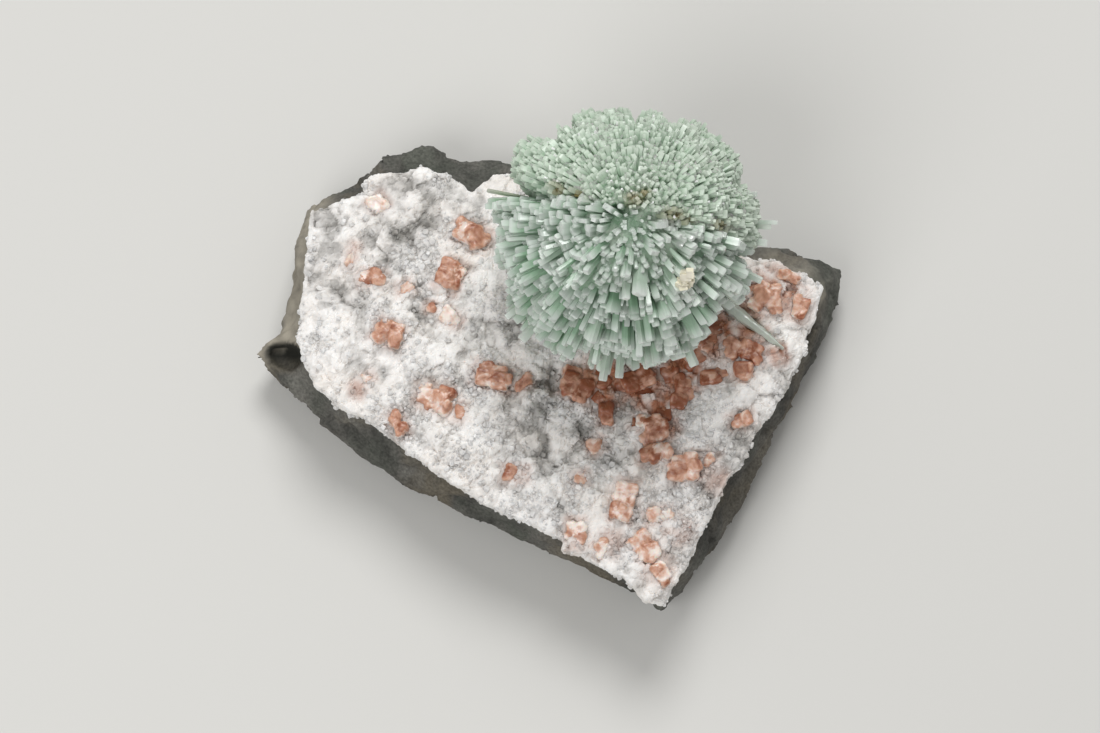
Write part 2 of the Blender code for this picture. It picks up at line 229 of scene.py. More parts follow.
# Basalt: a broken piece of lava rock, dull and fine grained, so it shows only soft light and grain
basalt = {
    "voxel": 0.5,
    "chips": [(5.0, 0.45, 1.1, 40), (2.2, 0.2, 1.0, 60)],  # broken faces: size, rise, slope and seed
    "grainSize": 0.9, "grainRise": 0.08,
    "flatTo": 0.8,  # the underside stays flat up to this height
    "topFrom": 14.0, "topMost": 14.9,
    # The hollow at the left tip, and how far round it the rock stays calm
    "hollow": (-41.6, 3.6, 11.6), "hollowRadii": (3.5, 2.3, 4.4), "hollowTurn": -32.0, "hollowCalm": 5.5,
    "shadowShift": (0.15, -0.35, 0.0),  # the painted shadow lies forward of the hollow's middle
    "shadowTo": 1.15, "rimAt": 1.5, "rimWidth": 0.36,  # in the hollow's radii
    "edgeFrom": (-33.0, 4.0),  # the pale edge is left of and behind this
    # Paler places on the back right rim: x, y, radius, strength
    "paleSpots": [(44.3, 13.0, 3.0, 0.85), (39.5, 16.3, 3.2, 0.45), (34.5, 18.8, 3.0, 0.3)],
    "patchSize": 7.0, "stainSize": 11.0, "speckSize": 0.45,
    "dark": "#4A4945", "grey": "#74726C", "brown": "#6E6759", "green": "#5A5E55",
    # hollowColour is the painted shade inside the hollow
    "paleColour": "#ABA495", "hollowColour": "#1D1E19",
}


def basaltMaterial():
    # dull grey rock with brown and green stains, paler in places, and painted shade inside the hollow
    made, tree = newMaterial("broken_basalt")
    place = addNode(tree, "ShaderNodeTexCoord")
    spot = place.outputs["Object"]
    patches = addNode(tree, "ShaderNodeTexNoise", {"Scale": perSize(basalt["patchSize"]), "Detail": 4.0},
                      {"Vector": spot})
    stains = addNode(tree, "ShaderNodeTexNoise",
                     {"Scale": perSize(basalt["stainSize"]), "Detail": 3.0, "Distortion": 0.6},
                     {"Vector": spot})
    grains = addNode(tree, "ShaderNodeTexNoise", {"Scale": perSize(basalt["speckSize"]), "Detail": 3.0},
                     {"Vector": spot})
    shadeOf = addNode(tree, "ShaderNodeMapRange", {"From Min": 0.38, "From Max": 0.66},
                      {"Value": patches.outputs["Fac"]})
    base = addNode(tree, "ShaderNodeMix", {6: toLinear(basalt["dark"]), 7: toLinear(basalt["grey"])},
                   {0: shadeOf.outputs["Result"]}, data_type="RGBA")
    stained = base.outputs[2]
    for name, ends in (("brown", {"From Min": 0.5, "From Max": 0.66, "To Max": 0.75}),
                       ("green", {"From Min": 0.5, "From Max": 0.34, "To Max": 0.6})):
        share = addNode(tree, "ShaderNodeMapRange", ends, {"Value": stains.outputs["Fac"]})
        layer = addNode(tree, "ShaderNodeMix", {7: toLinear(basalt[name])},
                        {0: share.outputs["Result"], 6: stained}, data_type="RGBA")
        stained = layer.outputs[2]
    grainOf = addNode(tree, "ShaderNodeMapRange",
                      {"From Min": 0.35, "From Max": 0.7, "To Min": 0.72, "To Max": 1.3},
                      {"Value": grains.outputs["Fac"]})
    speckled = addNode(tree, "ShaderNodeVectorMath", None, {0: stained, 1: grainOf.outputs["Result"]},
                       operation="MULTIPLY")
    colour = speckled.outputs[0]
    for name in ("pale", "hollow"):
        share = addNode(tree, "ShaderNodeAttribute", attribute_name=name)
        layer = addNode(tree, "ShaderNodeMix", {7: toLinear(basalt[name + "Colour"])},
                        {0: share.outputs["Fac"], 6: colour}, data_type="RGBA")
        colour = layer.outputs[2]
    bump = addNode(tree, "ShaderNodeBump", {"Strength": 0.5, "Distance": 0.12 * mm},
                   {"Height": grains.outputs["Fac"]})
    shader = addNode(tree, "ShaderNodeBsdfPrincipled", {"Roughness": 0.82, "Specular IOR Level": 0.3},
                     {"Base Color": colour, "Normal": bump.outputs["Normal"]})
    addNode(tree, "ShaderNodeOutputMaterial", None, {"Surface": shader.outputs["BSDF"]})
    return made


def roughenBasalt(mesh):
    # chips and grain, less of them by the underside, the top and the hollow
    points, normals = pointsOf(mesh), normalsOf(mesh)
    rise = np.zeros(len(points))
    for size, step, slope, salt in basalt["chips"]:
        rise += step * facets(points, size, slope, salt)
    rise += basalt["grainRise"] * smoothNoise(points, basalt["grainSize"])
    height = points[:, 2]
    free = np.clip(height / basalt["flatTo"] - 0.4, 0, 1)
    calm = np.linalg.norm(points - np.array(basalt["hollow"]), axis=1) / basalt["hollowCalm"]
    free *= 1 - 0.8 * np.exp(-calm ** 2)
    free *= 1 - 0.85 * np.clip((height - basalt["topFrom"]) / 0.5, 0, 1) * (normals[:, 2] > 0.5)
    points += normals * (rise * free)[:, None]
    points[:, 2] = np.clip(points[:, 2], 0.0, basalt["topMost"])
    setPoints(mesh, points)
    return points


def tintBasalt(mesh, points):
    # where the rock is paler, and the painted shade in the hollow
    height = points[:, 2]
    turn = math.radians(basalt["hollowTurn"])
    x, y, z = (points - np.array(basalt["hollow"]) - np.array(basalt["shadowShift"])).T
    inward = np.stack((x * math.cos(turn) + y * math.sin(turn), y * math.cos(turn) - x * math.sin(turn), z))
    reach = np.linalg.norm(inward.T / np.array(basalt["hollowRadii"]), axis=1)
    behind = np.clip((y - x * 0.6) / 3.0 + 0.25, 0, 1)
    pale = np.exp(-((reach - basalt["rimAt"]) / basalt["rimWidth"]) ** 2) * behind
    edge = np.clip((basalt["edgeFrom"][0] - points[:, 0]) / 3.0, 0, 1)
    pale = np.maximum(pale, 0.75 * edge * np.clip((points[:, 1] - basalt["edgeFrom"][1]) / 2.0, 0, 1))
    for spotX, spotY, radius, strength in basalt["paleSpots"]:
        away = awayFrom(points, spotX, spotY, radius)
        pale = np.maximum(pale, strength * np.exp(-away ** 2) * np.clip((height - 9.0) / 4.0, 0, 1))
    pale *= np.clip((height - 3.0) / 4.0, 0, 1) * (0.85 + 0.3 * smoothNoise(points, 1.3, 7.0))
    setAttribute(mesh, "pale", np.clip(pale, 0, 0.9))
    # painted shade: the hollow is darkest under its back edge and fades towards the front
    fade = np.clip(0.75 + (y + 0.25 * x) / 3.0 + 0.15 * smoothNoise(points, 1.5, 4.0), 0.08, 1)
    setAttribute(mesh, "hollow", np.clip((basalt["shadowTo"] - reach) / 0.1, 0, 0.95) * fade)


def makeBasalt():
    rock = newPiece("basalt_rock", meshFrom(mergedCopy("basalt_matrix"), "basalt_rock"))
    mesh = remesh(rock, basalt["voxel"]).data
    tintBasalt(mesh, roughenBasalt(mesh))
    mesh.shade_smooth()
    mesh.materials.clear()
    mesh.materials.append(basaltMaterial())
    finishPiece(rock, "basalt", "basalt_matrix")
    print("basalt", len(mesh.polygons), "faces")


makeBasalt()


# Heulandite crust: a white druse of small blocky crystals, some of them grey and clear
crust = {
    "voxel": 0.27,
    "cutAt": 15.1, "bottom": 14.55,
    "lowestTop": 16.0, "usualTop": 17.5,  # heights of the crust's top, to tell it from its sides
    "lumps": [(3.3, 0.85, 3), (1.7, 0.42, 17)],  # size, rise and seed
    "blockSize": 1.1, "blockRise": 0.22, "blockSeed": 11,
    "grainSize": 0.6, "grainRise": 0.09, "grainSeed": 29,
    "slope": 1.0,
    # How far each crystal's bed reaches past it, and how deep it lies
    "fillMargin": 0.5, "seatMargin": -0.15, "baldMargin": -0.45, "seatDrop": 0.55, "bladeDrop": 1.6,
    "smallRise": 0.7,  # how far the small stilbites stand up
    "white": "#F6F3F0", "grey": "#8B8883", "warm": "#E6DED6", "peach": "#AD765A",
    "halo": 0.36, "haloWidth": 0.8,  # the peach tint round each stilbite
    "mottleSize": 1.8, "driftSize": 9.0, "sparkleSize": 0.28,
    # Smoother places: x, y, radius
    "smoothSpots": [(-34.0, 21.0, 5.0), (-24.0, 28.5, 5.0), (-8.0, 29.5, 4.5), (-36.0, 10.0, 4.0),
                    (39.5, 10.0, 4.0)],
    # Grey places: x, y, radius; partly grey clear crystal, partly painted shade in pits and hollows
    "greyAndShadeSpots": [(-22.5, 28.0, 5.5), (-35.0, 22.0, 4.0), (-36.0, 14.0, 3.0), (-19.4, 21.6, 2.4),
                  (-20.4, 12.2, 2.2), (-28.5, 0.8, 2.6), (-11.3, 6.6, 2.6), (0.8, -1.9, 3.6),
                  (12.3, -6.4, 2.0), (7.7, -11.6, 3.4), (0.8, -14.9, 3.2), (-2.6, -8.0, 3.6),
                  (4.2, -8.0, 2.6), (23.4, -19.6, 2.0), (-24.5, 19.2, 4.5), (-33.4, 12.6, 1.8),
                  (29.5, -12.5, 3.4), (13.4, -15.6, 2.4), (-3.9, 5.8, 2.6)],
    # Peach places: x, y, radius, strength; those of strength 1 and more, under the ball, are also its painted
    # shadow
    "peachAndShadowSpots": [(16.5, -31.5, 3.0, 0.35), (19.5, -25.5, 3.0, 0.35), (25.5, -17.5, 2.4, 0.45),
                   (9.5, -27.8, 2.6, 0.4), (35.0, 12.0, 4.6, 0.8), (31.0, 9.0, 3.0, 0.8),
                   (25.5, 5.0, 4.0, 1.1), (31.0, 4.5, 3.4, 1.0), (35.0, 2.0, 2.0, 1.0), (8.0, -2.5, 4.4, 1.2),
                   (14.0, -3.0, 4.0, 1.25), (20.5, -1.0, 3.6, 1.2), (4.5, -3.0, 3.0, 1.1),
                   (16.5, -5.5, 3.2, 1.1), (17.5, -9.5, 2.6, 0.9), (-29.5, -3.5, 1.8, 0.6),
                   (-26.8, 26.0, 1.8, 0.6)],
}


def crustMaterial(name, roughness, clear):
    # white and lightly translucent, with a glassy sparkle from the small faces
    made, tree = newMaterial(name)
    place = addNode(tree, "ShaderNodeTexCoord")
    spot = place.outputs["Object"]
    mottle = addNode(tree, "ShaderNodeTexNoise", {"Scale": perSize(crust["mottleSize"]), "Detail": 3.0},
                     {"Vector": spot})
    drift = addNode(tree, "ShaderNodeTexNoise", {"Scale": perSize(crust["driftSize"]), "Detail": 2.0},
                    {"Vector": spot})
    fine = addNode(tree, "ShaderNodeTexNoise", {"Scale": perSize(crust["sparkleSize"]), "Detail": 2.0},
                   {"Vector": spot})
    # the grey and peach attributes carry painted shade as well as the crust's own grey and peach
    greyOf = addNode(tree, "ShaderNodeAttribute", attribute_name="grey")
    peachOf = addNode(tree, "ShaderNodeAttribute", attribute_name="peach")
    driftOf = addNode(tree, "ShaderNodeMapRange", {"From Min": 0.45, "From Max": 0.7, "To Max": 0.5},
                      {"Value": drift.outputs["Fac"]})
    base = addNode(tree, "ShaderNodeMix", {6: toLinear(crust["white"]), 7: toLinear(crust["warm"])},
                   {0: driftOf.outputs["Result"]}, data_type="RGBA")
    mottleOf = addNode(tree, "ShaderNodeMapRange",
                       {"From Min": 0.3, "From Max": 0.7, "To Min": -0.22, "To Max": 0.22},
                       {"Value": mottle.outputs["Fac"]})
    greySum = addNode(tree, "ShaderNodeMath", None, {0: greyOf.outputs["Fac"], 1: mottleOf.outputs["Result"]},
                      operation="ADD", use_clamp=True)
    greyed = addNode(tree, "ShaderNodeMix", {7: toLinear(crust["grey"])},
                     {0: greySum.outputs[0], 6: base.outputs[2]}, data_type="RGBA")
    colour = addNode(tree, "ShaderNodeMix", {7: toLinear(crust["peach"])},
                     {0: peachOf.outputs["Fac"], 6: greyed.outputs[2]}, data_type="RGBA")
    bump = addNode(tree, "ShaderNodeBump", {"Strength": 0.2, "Distance": 0.08 * mm},
                   {"Height": fine.outputs["Fac"]})
    shader = addNode(tree, "ShaderNodeBsdfPrincipled",
                     {"Roughness": roughness, "IOR": 1.5, "Transmission Weight": clear,
                      "Subsurface Weight": 0.75, "Subsurface Radius": (1.3, 1.25, 1.2),
                      "Subsurface Scale": mm},
                     {"Base Color": colour.outputs[2], "Normal": bump.outputs["Normal"]})
    addNode(tree, "ShaderNodeOutputMaterial", None, {"Surface": shader.outputs["BSDF"]})
    return made


def footprint(nodeName):
    # the smallest rectangle round a node seen from above: middle, length, width, turn and top
    spots = pointsOf(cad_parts[nodeName].data)
    best = None
    for degrees in range(90):
        turn = math.radians(degrees)
        along = np.array((math.cos(turn), math.sin(turn)))
        across = np.array((-math.sin(turn), math.cos(turn)))
        a, b = spots[:, :2] @ along, spots[:, :2] @ across
        area = np.ptp(a) * np.ptp(b)
        if best is None or area < best[0]:
            middle = along * (a.min() + a.max()) / 2 + across * (b.min() + b.max()) / 2
            best = (area, middle, np.ptp(a), np.ptp(b), turn)
    _, middle, length, width, turn = best
    if width > length:
        length, width, turn = width, length, turn + math.pi / 2
    return {"x": middle[0], "y": middle[1], "length": length, "width": width, "turn": turn,
            "top": spots[:, 2].max()}


stilbiteNodes = sorted(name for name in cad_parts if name.startswith("stilbite"))
seats = {name: footprint(name) for name in [*stilbiteNodes, "scolecite_blade"]}

# Small ones with no node of their own: x, y, length, width, turn in degrees, paleness; the low paleness of
# those under the ball is partly painted shadow
smallStilbites = [
    (4.7, -17.5, 2.0, 1.9, 10, 0.8), (7.2, -12.3, 2.3, 2.0, 30, 0.8), (-13.8, -7.0, 2.5, 1.4, 80, 0.5),
    (-30.6, 17.7, 3.5, 1.1, 75, 0.7), (17.5, -23.0, 2.0, 1.8, 0, 0.8), (26.4, -0.7, 2.0, 1.6, 20, 0.5),
    (-15.1, 7.6, 2.8, 2.0, -40, 0.8), (-18.4, 9.5, 1.4, 1.2, 0, 0.6), (-22.4, 12.5, 2.0, 1.7, 15, 0.8),
    (-26.7, 26.0, 2.6, 2.3, 40, 0.9), (-28.0, -1.6, 1.6, 1.2, 20, 0.6), (24.5, -14.5, 2.6, 1.2, 55, 0.8),
    (10.8, -2.7, 3.0, 2.2, 20, 0.15), (13.6, 0.4, 3.2, 2.4, -20, 0.2), (17.0, 2.6, 3.4, 2.2, 30, 0.1),
    (20.6, -3.4, 2.6, 2.0, 60, 0.25), (21.9, 1.4, 3.2, 2.4, 45, 0.2), (25.2, 6.2, 3.4, 2.0, 40, 0.2),
    (4.2, -3.6, 3.2, 2.2, 15, 0.1), (7.6, -2.2, 3.2, 2.4, -10, 0.15), (14.4, -3.4, 3.0, 2.2, 5, 0.1),
    (17.6, -1.2, 3.2, 2.4, -15, 0.1), (7.2, -5.4, 2.4, 1.8, 40, 0.3), (24.2, -1.8, 3.0, 2.0, 25, 0.3),
    (28.4, 8.6, 3.0, 2.2, 30, 0.25), (31.6, 12.4, 2.8, 2.0, 10, 0.4), (37.0, 11.6, 2.4, 1.8, 60, 0.5),
    (28.6, 3.4, 2.6, 1.8, -30, 0.35), (17.4, -7.6, 2.4, 2.0, 70, 0.25), (13.2, -8.6, 2.0, 1.4, 80, 0.3),
]

for number, (x, y, length, width, turn, paleness) in enumerate(smallStilbites, 1):
    seats[f"stilbite_small_{number:02d}"] = {"x": x, "y": y, "length": length, "width": width,
                                             "turn": math.radians(turn), "paleness": paleness}


def boxInto(bm, x, y, turn, length, width, low, high):
    place = Matrix.Translation((x * mm, y * mm, (low + high) / 2 * mm)) @ Matrix.Rotation(turn, 4, "Z")
    size = Matrix.Diagonal((length * mm, width * mm, (high - low) * mm, 1.0))
    bmesh.ops.create_cube(bm, size=1.0, matrix=place @ size)


def heightUnder(tree, x, y):
    hit, _, _, _ = tree.ray_cast(Vector((x, y, 60.0)) * mm, Vector((0, 0, -1)))
    return hit.z / mm if hit else None


def rimHeight(tree, seat):
    # the crust's mean height just outside a crystal's footprint
    found = []
    steps, margin = 16, 0.8
    for step in range(steps):
        angle = math.tau * step / steps
        a = math.cos(angle) * (seat["length"] / 2 + margin)
        b = math.sin(angle) * (seat["width"] / 2 + margin)
        x = seat["x"] + a * math.cos(seat["turn"]) - b * math.sin(seat["turn"])
        y = seat["y"] + a * math.sin(seat["turn"]) + b * math.cos(seat["turn"])
        height = heightUnder(tree, x, y)
        if height and height > crust["lowestTop"]:
            found.append(height)
    return sum(found) / len(found) if found else crust["usualTop"]


def fromSeat(points, seat):
    # how far each point is from a crystal's middle, along it and across it
    x, y = points[:, 0] - seat["x"], points[:, 1] - seat["y"]
    along = x * math.cos(seat["turn"]) + y * math.sin(seat["turn"])
    across = y * math.cos(seat["turn"]) - x * math.sin(seat["turn"])
    return np.abs(along), np.abs(across)


def insideSeat(points, seat, margin):
    # which points are over a crystal's footprint
    along, across = fromSeat(points, seat)
    return (along < seat["length"] / 2 + margin) & (across < seat["width"] / 2 + margin)


def pastSeat(points, seat):
    # how far each point lies outside a crystal's footprint, 0 within it
    along, across = fromSeat(points, seat)
    return np.hypot(np.maximum(along - seat["length"] / 2, 0), np.maximum(across - seat["width"] / 2, 0))


def crustBody():
    # the CAD crust with its beds filled, remeshed and cut off level below; also the points of its cut edge
    bm = mergedCopy("heulandite_crust")
    surface = BVHTree.FromBMesh(bm)
    for seat in seats.values():
        seat["rim"] = rimHeight(surface, seat)
        seat.setdefault("top", seat["rim"] + crust["smallRise"])
        grown = 2 * crust["fillMargin"]
        boxInto(bm, seat["x"], seat["y"], seat["turn"], seat["length"] + grown, seat["width"] + grown,
                crust["bottom"] + 0.5, seat["rim"])
    sheet = remesh(newPiece("heulandite_sheet", meshFrom(bm, "heulandite_sheet")), crust["voxel"])
    bm = bmesh.new()
    bm.from_mesh(sheet.data)
    bmesh.ops.bisect_plane(bm, geom=[*bm.verts, *bm.edges, *bm.faces], plane_co=(0, 0, crust["cutAt"] * mm),
                           plane_no=(0, 0, 1), clear_inner=True)
    rim = [edge for edge in bm.edges if edge.is_boundary]
    bm.verts.index_update()
    rimPoints = sorted({vertex.index for edge in rim for vertex in edge.verts})
    for edge in rim:
        for vertex in edge.verts:
            vertex.co.z = crust["bottom"] * mm
    bmesh.ops.holes_fill(bm, edges=rim, sides=0)
    bmesh.ops.triangulate(bm, faces=[face for face in bm.faces if len(face.verts) > 4])
    bmesh.ops.recalc_face_normals(bm, faces=bm.faces)
    bm.to_mesh(sheet.data)
    bm.free()
    return sheet, rimPoints


def tintCrust(mesh, points, low):
    # painted shade: greyer in the low places and the pits; grey in the clear places; peach round the
    # stilbites
    # painted shade: the lower a place lies, the greyer it is
    grey = 0.08 + 0.6 * low + 0.4 * np.clip(smoothNoise(points, 4.5, 3.0), -0.4, 1)
    for x, y, radius in crust["greyAndShadeSpots"]:
        grey += 0.6 * np.exp(-awayFrom(points, x, y, radius) ** 2) * (0.8 + 0.5 * low)
    peach = np.zeros(len(points))
    # peach stains, strongest under the ball, where they also stand for the ball's painted shadow
    for x, y, radius, strength in crust["peachAndShadowSpots"]:
        peach = np.maximum(peach, strength * np.exp(-awayFrom(points, x, y, radius) ** 4))
    for name, seat in seats.items():
        if "stilbite" in name:
            outside = pastSeat(points, seat) / crust["haloWidth"]
            peach = np.maximum(peach, crust["halo"] * np.exp(-outside ** 2))
    peach *= np.clip(0.85 + 0.6 * smoothNoise(points, 1.6, 5.0), 0.1, 1.0)
    setAttribute(mesh, "grey", np.clip(grey, 0, 0.95))
    setAttribute(mesh, "peach", peach)


def makeCrust():
    sheet, rimPoints = crustBody()
    mesh = sheet.data
    points, normals = pointsOf(mesh), normalsOf(mesh)
    lump = np.zeros(len(points))
    for size, height, salt in crust["lumps"]:
        home, _, near, _ = nearestCells(points, size, salt)
        lump += height * ((0.6 - near) * 1.3 + (hashed(home, salt + 5) - 0.5) * 0.8)
    block = facets(points, crust["blockSize"], crust["slope"], crust["blockSeed"])
    grain = facets(points, crust["grainSize"], crust["slope"], crust["grainSeed"])
    rough = np.ones(len(points))
    for x, y, radius in crust["smoothSpots"]:
        rough -= 0.6 * np.exp(-awayFrom(points, x, y, radius) ** 2)
    rise = (lump + crust["blockRise"] * block) * rough + crust["grainRise"] * grain
    fixed = np.zeros(len(points), bool)
    fixed[rimPoints] = True
    side = np.clip(1 - normals[:, 2], 0, 1)
    free = np.where(fixed, 0.0, 1.0 - 0.45 * side)
    points += normals * (rise * free)[:, None]
    bald = fixed | (normals[:, 2] < -0.3)
    for name, seat in seats.items():
        inside = insideSeat(points, seat, crust["seatMargin"])
        drop = crust["bladeDrop"] if name == "scolecite_blade" else crust["seatDrop"]
        points[:, 2] = np.where(inside, np.minimum(points[:, 2], seat["top"] - drop), points[:, 2])
        bald |= insideSeat(points, seat, crust["baldMargin"])
    points[:, 2] = np.where(fixed, crust["bottom"], np.maximum(points[:, 2], crust["bottom"] + 0.1))
    setPoints(mesh, points)
    # the low places of the lumps and blocks are passed on for painted shade
    tintCrust(mesh, points, -(lump * 0.8 + block * 0.2))
    thick = np.clip(0.5 + 0.9 * smoothNoise(points, 5.0, 9.0), 0.1, 1.0) * (1 - 0.6 * side)
    setAttribute(mesh, "druse", np.where(bald, 0.0, rough ** 2 * thick))
    for polygon in mesh.polygons:
        polygon.use_smooth = False
    mesh.materials.clear()
    mesh.materials.append(crustMaterial("massive_heulandite", 0.5, 0.0))
    finishPiece(sheet, "heulandite", "heulandite_crust")
    print("crust", len(mesh.polygons), "faces")
    return sheet


crustSheet = makeCrust()


# The druse: small tabular crystals all over the crust, as instances at random turns and sizes
druse = {
    "spacing": 0.58, "smallest": 0.3, "largest": 1.05,
    "fewBig": 2.2,  # a higher power leaves fewer big ones
    "mostPerArea": 6e6,  # for each square metre
    "seed": 5,
    # Forms: width, narrowing at the ends and at the edges
    "forms": [(0.8, 0.8, 0.82), (0.5, 0.7, 0.7), (1.0, 0.55, 0.9)],
}


def loftInto(bm, rings):
    # a closed body through rings of the same number of points
    loops = [[bm.verts.new(point) for point in ring] for ring in rings]
    for low, high in zip(loops, loops[1:]):
        for i in range(len(low)):
            j = (i + 1) % len(low)
            bm.faces.new((low[i], low[j], high[j], high[i]))
    bm.faces.new(list(reversed(loops[0])))
    bm.faces.new(loops[-1])


def coffinForm(name, wide, waist, shoulder):
    # a tabular crystal, widest at its middle
    bm = bmesh.new()
    ring = [(-0.5 * waist, -0.5), (0.5 * waist, -0.5), (0.5, 0.0), (0.5 * waist, 0.5), (-0.5 * waist, 0.5),
            (-0.5, 0.0)]
    rings = []
    for level, share in ((-0.5, shoulder), (-0.3, 1.0), (0.3, 1.0), (0.5, shoulder)):
        rings.append([(x * share * wide, y * share, level * 0.7) for x, y in ring])
    loftInto(bm, rings)
    bmesh.ops.recalc_face_normals(bm, faces=bm.faces)
    return newPiece(name, meshFrom(bm, name))


def newTree(name, inputs):
    # a Geometry Nodes tree with a geometry input and output and these named inputs
    tree = bpy.data.node_groups.new(name, "GeometryNodeTree")
    tree.interface.new_socket("Geometry", in_out="INPUT", socket_type="NodeSocketGeometry")
    for label, kind in inputs:
        tree.interface.new_socket(label, in_out="INPUT", socket_type=kind)
    tree.interface.new_socket("Geometry", in_out="OUTPUT", socket_type="NodeSocketGeometry")
    entry = addNode(tree, "NodeGroupInput")
    return tree, entry


def runTree(piece, tree, values):
    # the tree's result as a plain mesh on the piece
    change = piece.modifiers.new(tree.name, "NODES")
    change.node_group = tree
    for item in tree.interface.items_tree:
        if item.in_out == "INPUT" and item.name in values:
            change[item.identifier] = values[item.name]
    return evaluated(piece)


def choiceOf(tree, forms):
    # each form as an instance of its own, to be picked from
    choice = addNode(tree, "GeometryNodeJoinGeometry")
    for form in forms:
        shape = addNode(tree, "GeometryNodeObjectInfo", {"Object": form})
        body = addNode(tree, "GeometryNodeGeometryToInstance", None, {"Geometry": shape.outputs["Geometry"]})
        tree.links.new(body.outputs["Instances"], choice.inputs["Geometry"])
    return choice


def druseTree(forms):
    tree, entry = newTree("druse", [("Spacing", "NodeSocketFloat"), ("Smallest", "NodeSocketFloat"),
                                    ("Largest", "NodeSocketFloat"), ("Seed", "NodeSocketInt"),
                                    ("Material", "NodeSocketMaterial")])
    where = addNode(tree, "GeometryNodeInputNamedAttribute", {"Name": "druse"}, data_type="FLOAT")
    scattered = addNode(tree, "GeometryNodeDistributePointsOnFaces", {"Density Max": druse["mostPerArea"]},
                        {"Mesh": entry.outputs["Geometry"], "Distance Min": entry.outputs["Spacing"],
                         "Density Factor": where.outputs["Attribute"], "Seed": entry.outputs["Seed"]},
                        distribute_method="POISSON")
    choice = choiceOf(tree, forms)
    turned = addNode(tree, "FunctionNodeRandomValue",
                     {0: (0.0, 0.0, 0.0), 1: (math.tau, math.tau, math.tau), "Seed": 3},
                     data_type="FLOAT_VECTOR")
    bend = addNode(tree, "FunctionNodeRandomValue", {"Seed": 4}, data_type="FLOAT")
    curve = addNode(tree, "ShaderNodeMath", {1: druse["fewBig"]}, {0: bend.outputs[1]}, operation="POWER")
    sized = addNode(tree, "ShaderNodeMapRange", None,
                    {"Value": curve.outputs[0], "To Min": entry.outputs["Smallest"],
                     "To Max": entry.outputs["Largest"]})
    stood = addNode(tree, "GeometryNodeInstanceOnPoints", {"Pick Instance": True},
                    {"Points": scattered.outputs["Points"], "Instance": choice.outputs["Geometry"],
                     "Rotation": turned.outputs["Value"], "Scale": sized.outputs["Result"]})
    real = addNode(tree, "GeometryNodeRealizeInstances", None, {"Geometry": stood.outputs["Instances"]})
    painted = addNode(tree, "GeometryNodeSetMaterial", None,
                      {"Geometry": real.outputs["Geometry"], "Material": entry.outputs["Material"]})
    addNode(tree, "NodeGroupOutput", None, {"Geometry": painted.outputs["Geometry"]})
    return tree


def makeDruse():
    forms = [coffinForm("coffin_form", *shape) for shape in druse["forms"]]
    piece = newPiece("heulandite_druse", crustSheet.data.copy())
    values = {"Spacing": druse["spacing"] * mm, "Smallest": druse["smallest"] * mm,
              "Largest": druse["largest"] * mm, "Seed": druse["seed"],
              "Material": crustMaterial("sugary_heulandite", 0.3, 0.1)}
    runTree(piece, druseTree(forms), values)
    for form in forms:
        bpy.data.objects.remove(form)
    finishPiece(piece, "heulandite")
    print("druse", len(piece.data.polygons), "faces")


makeDruse()


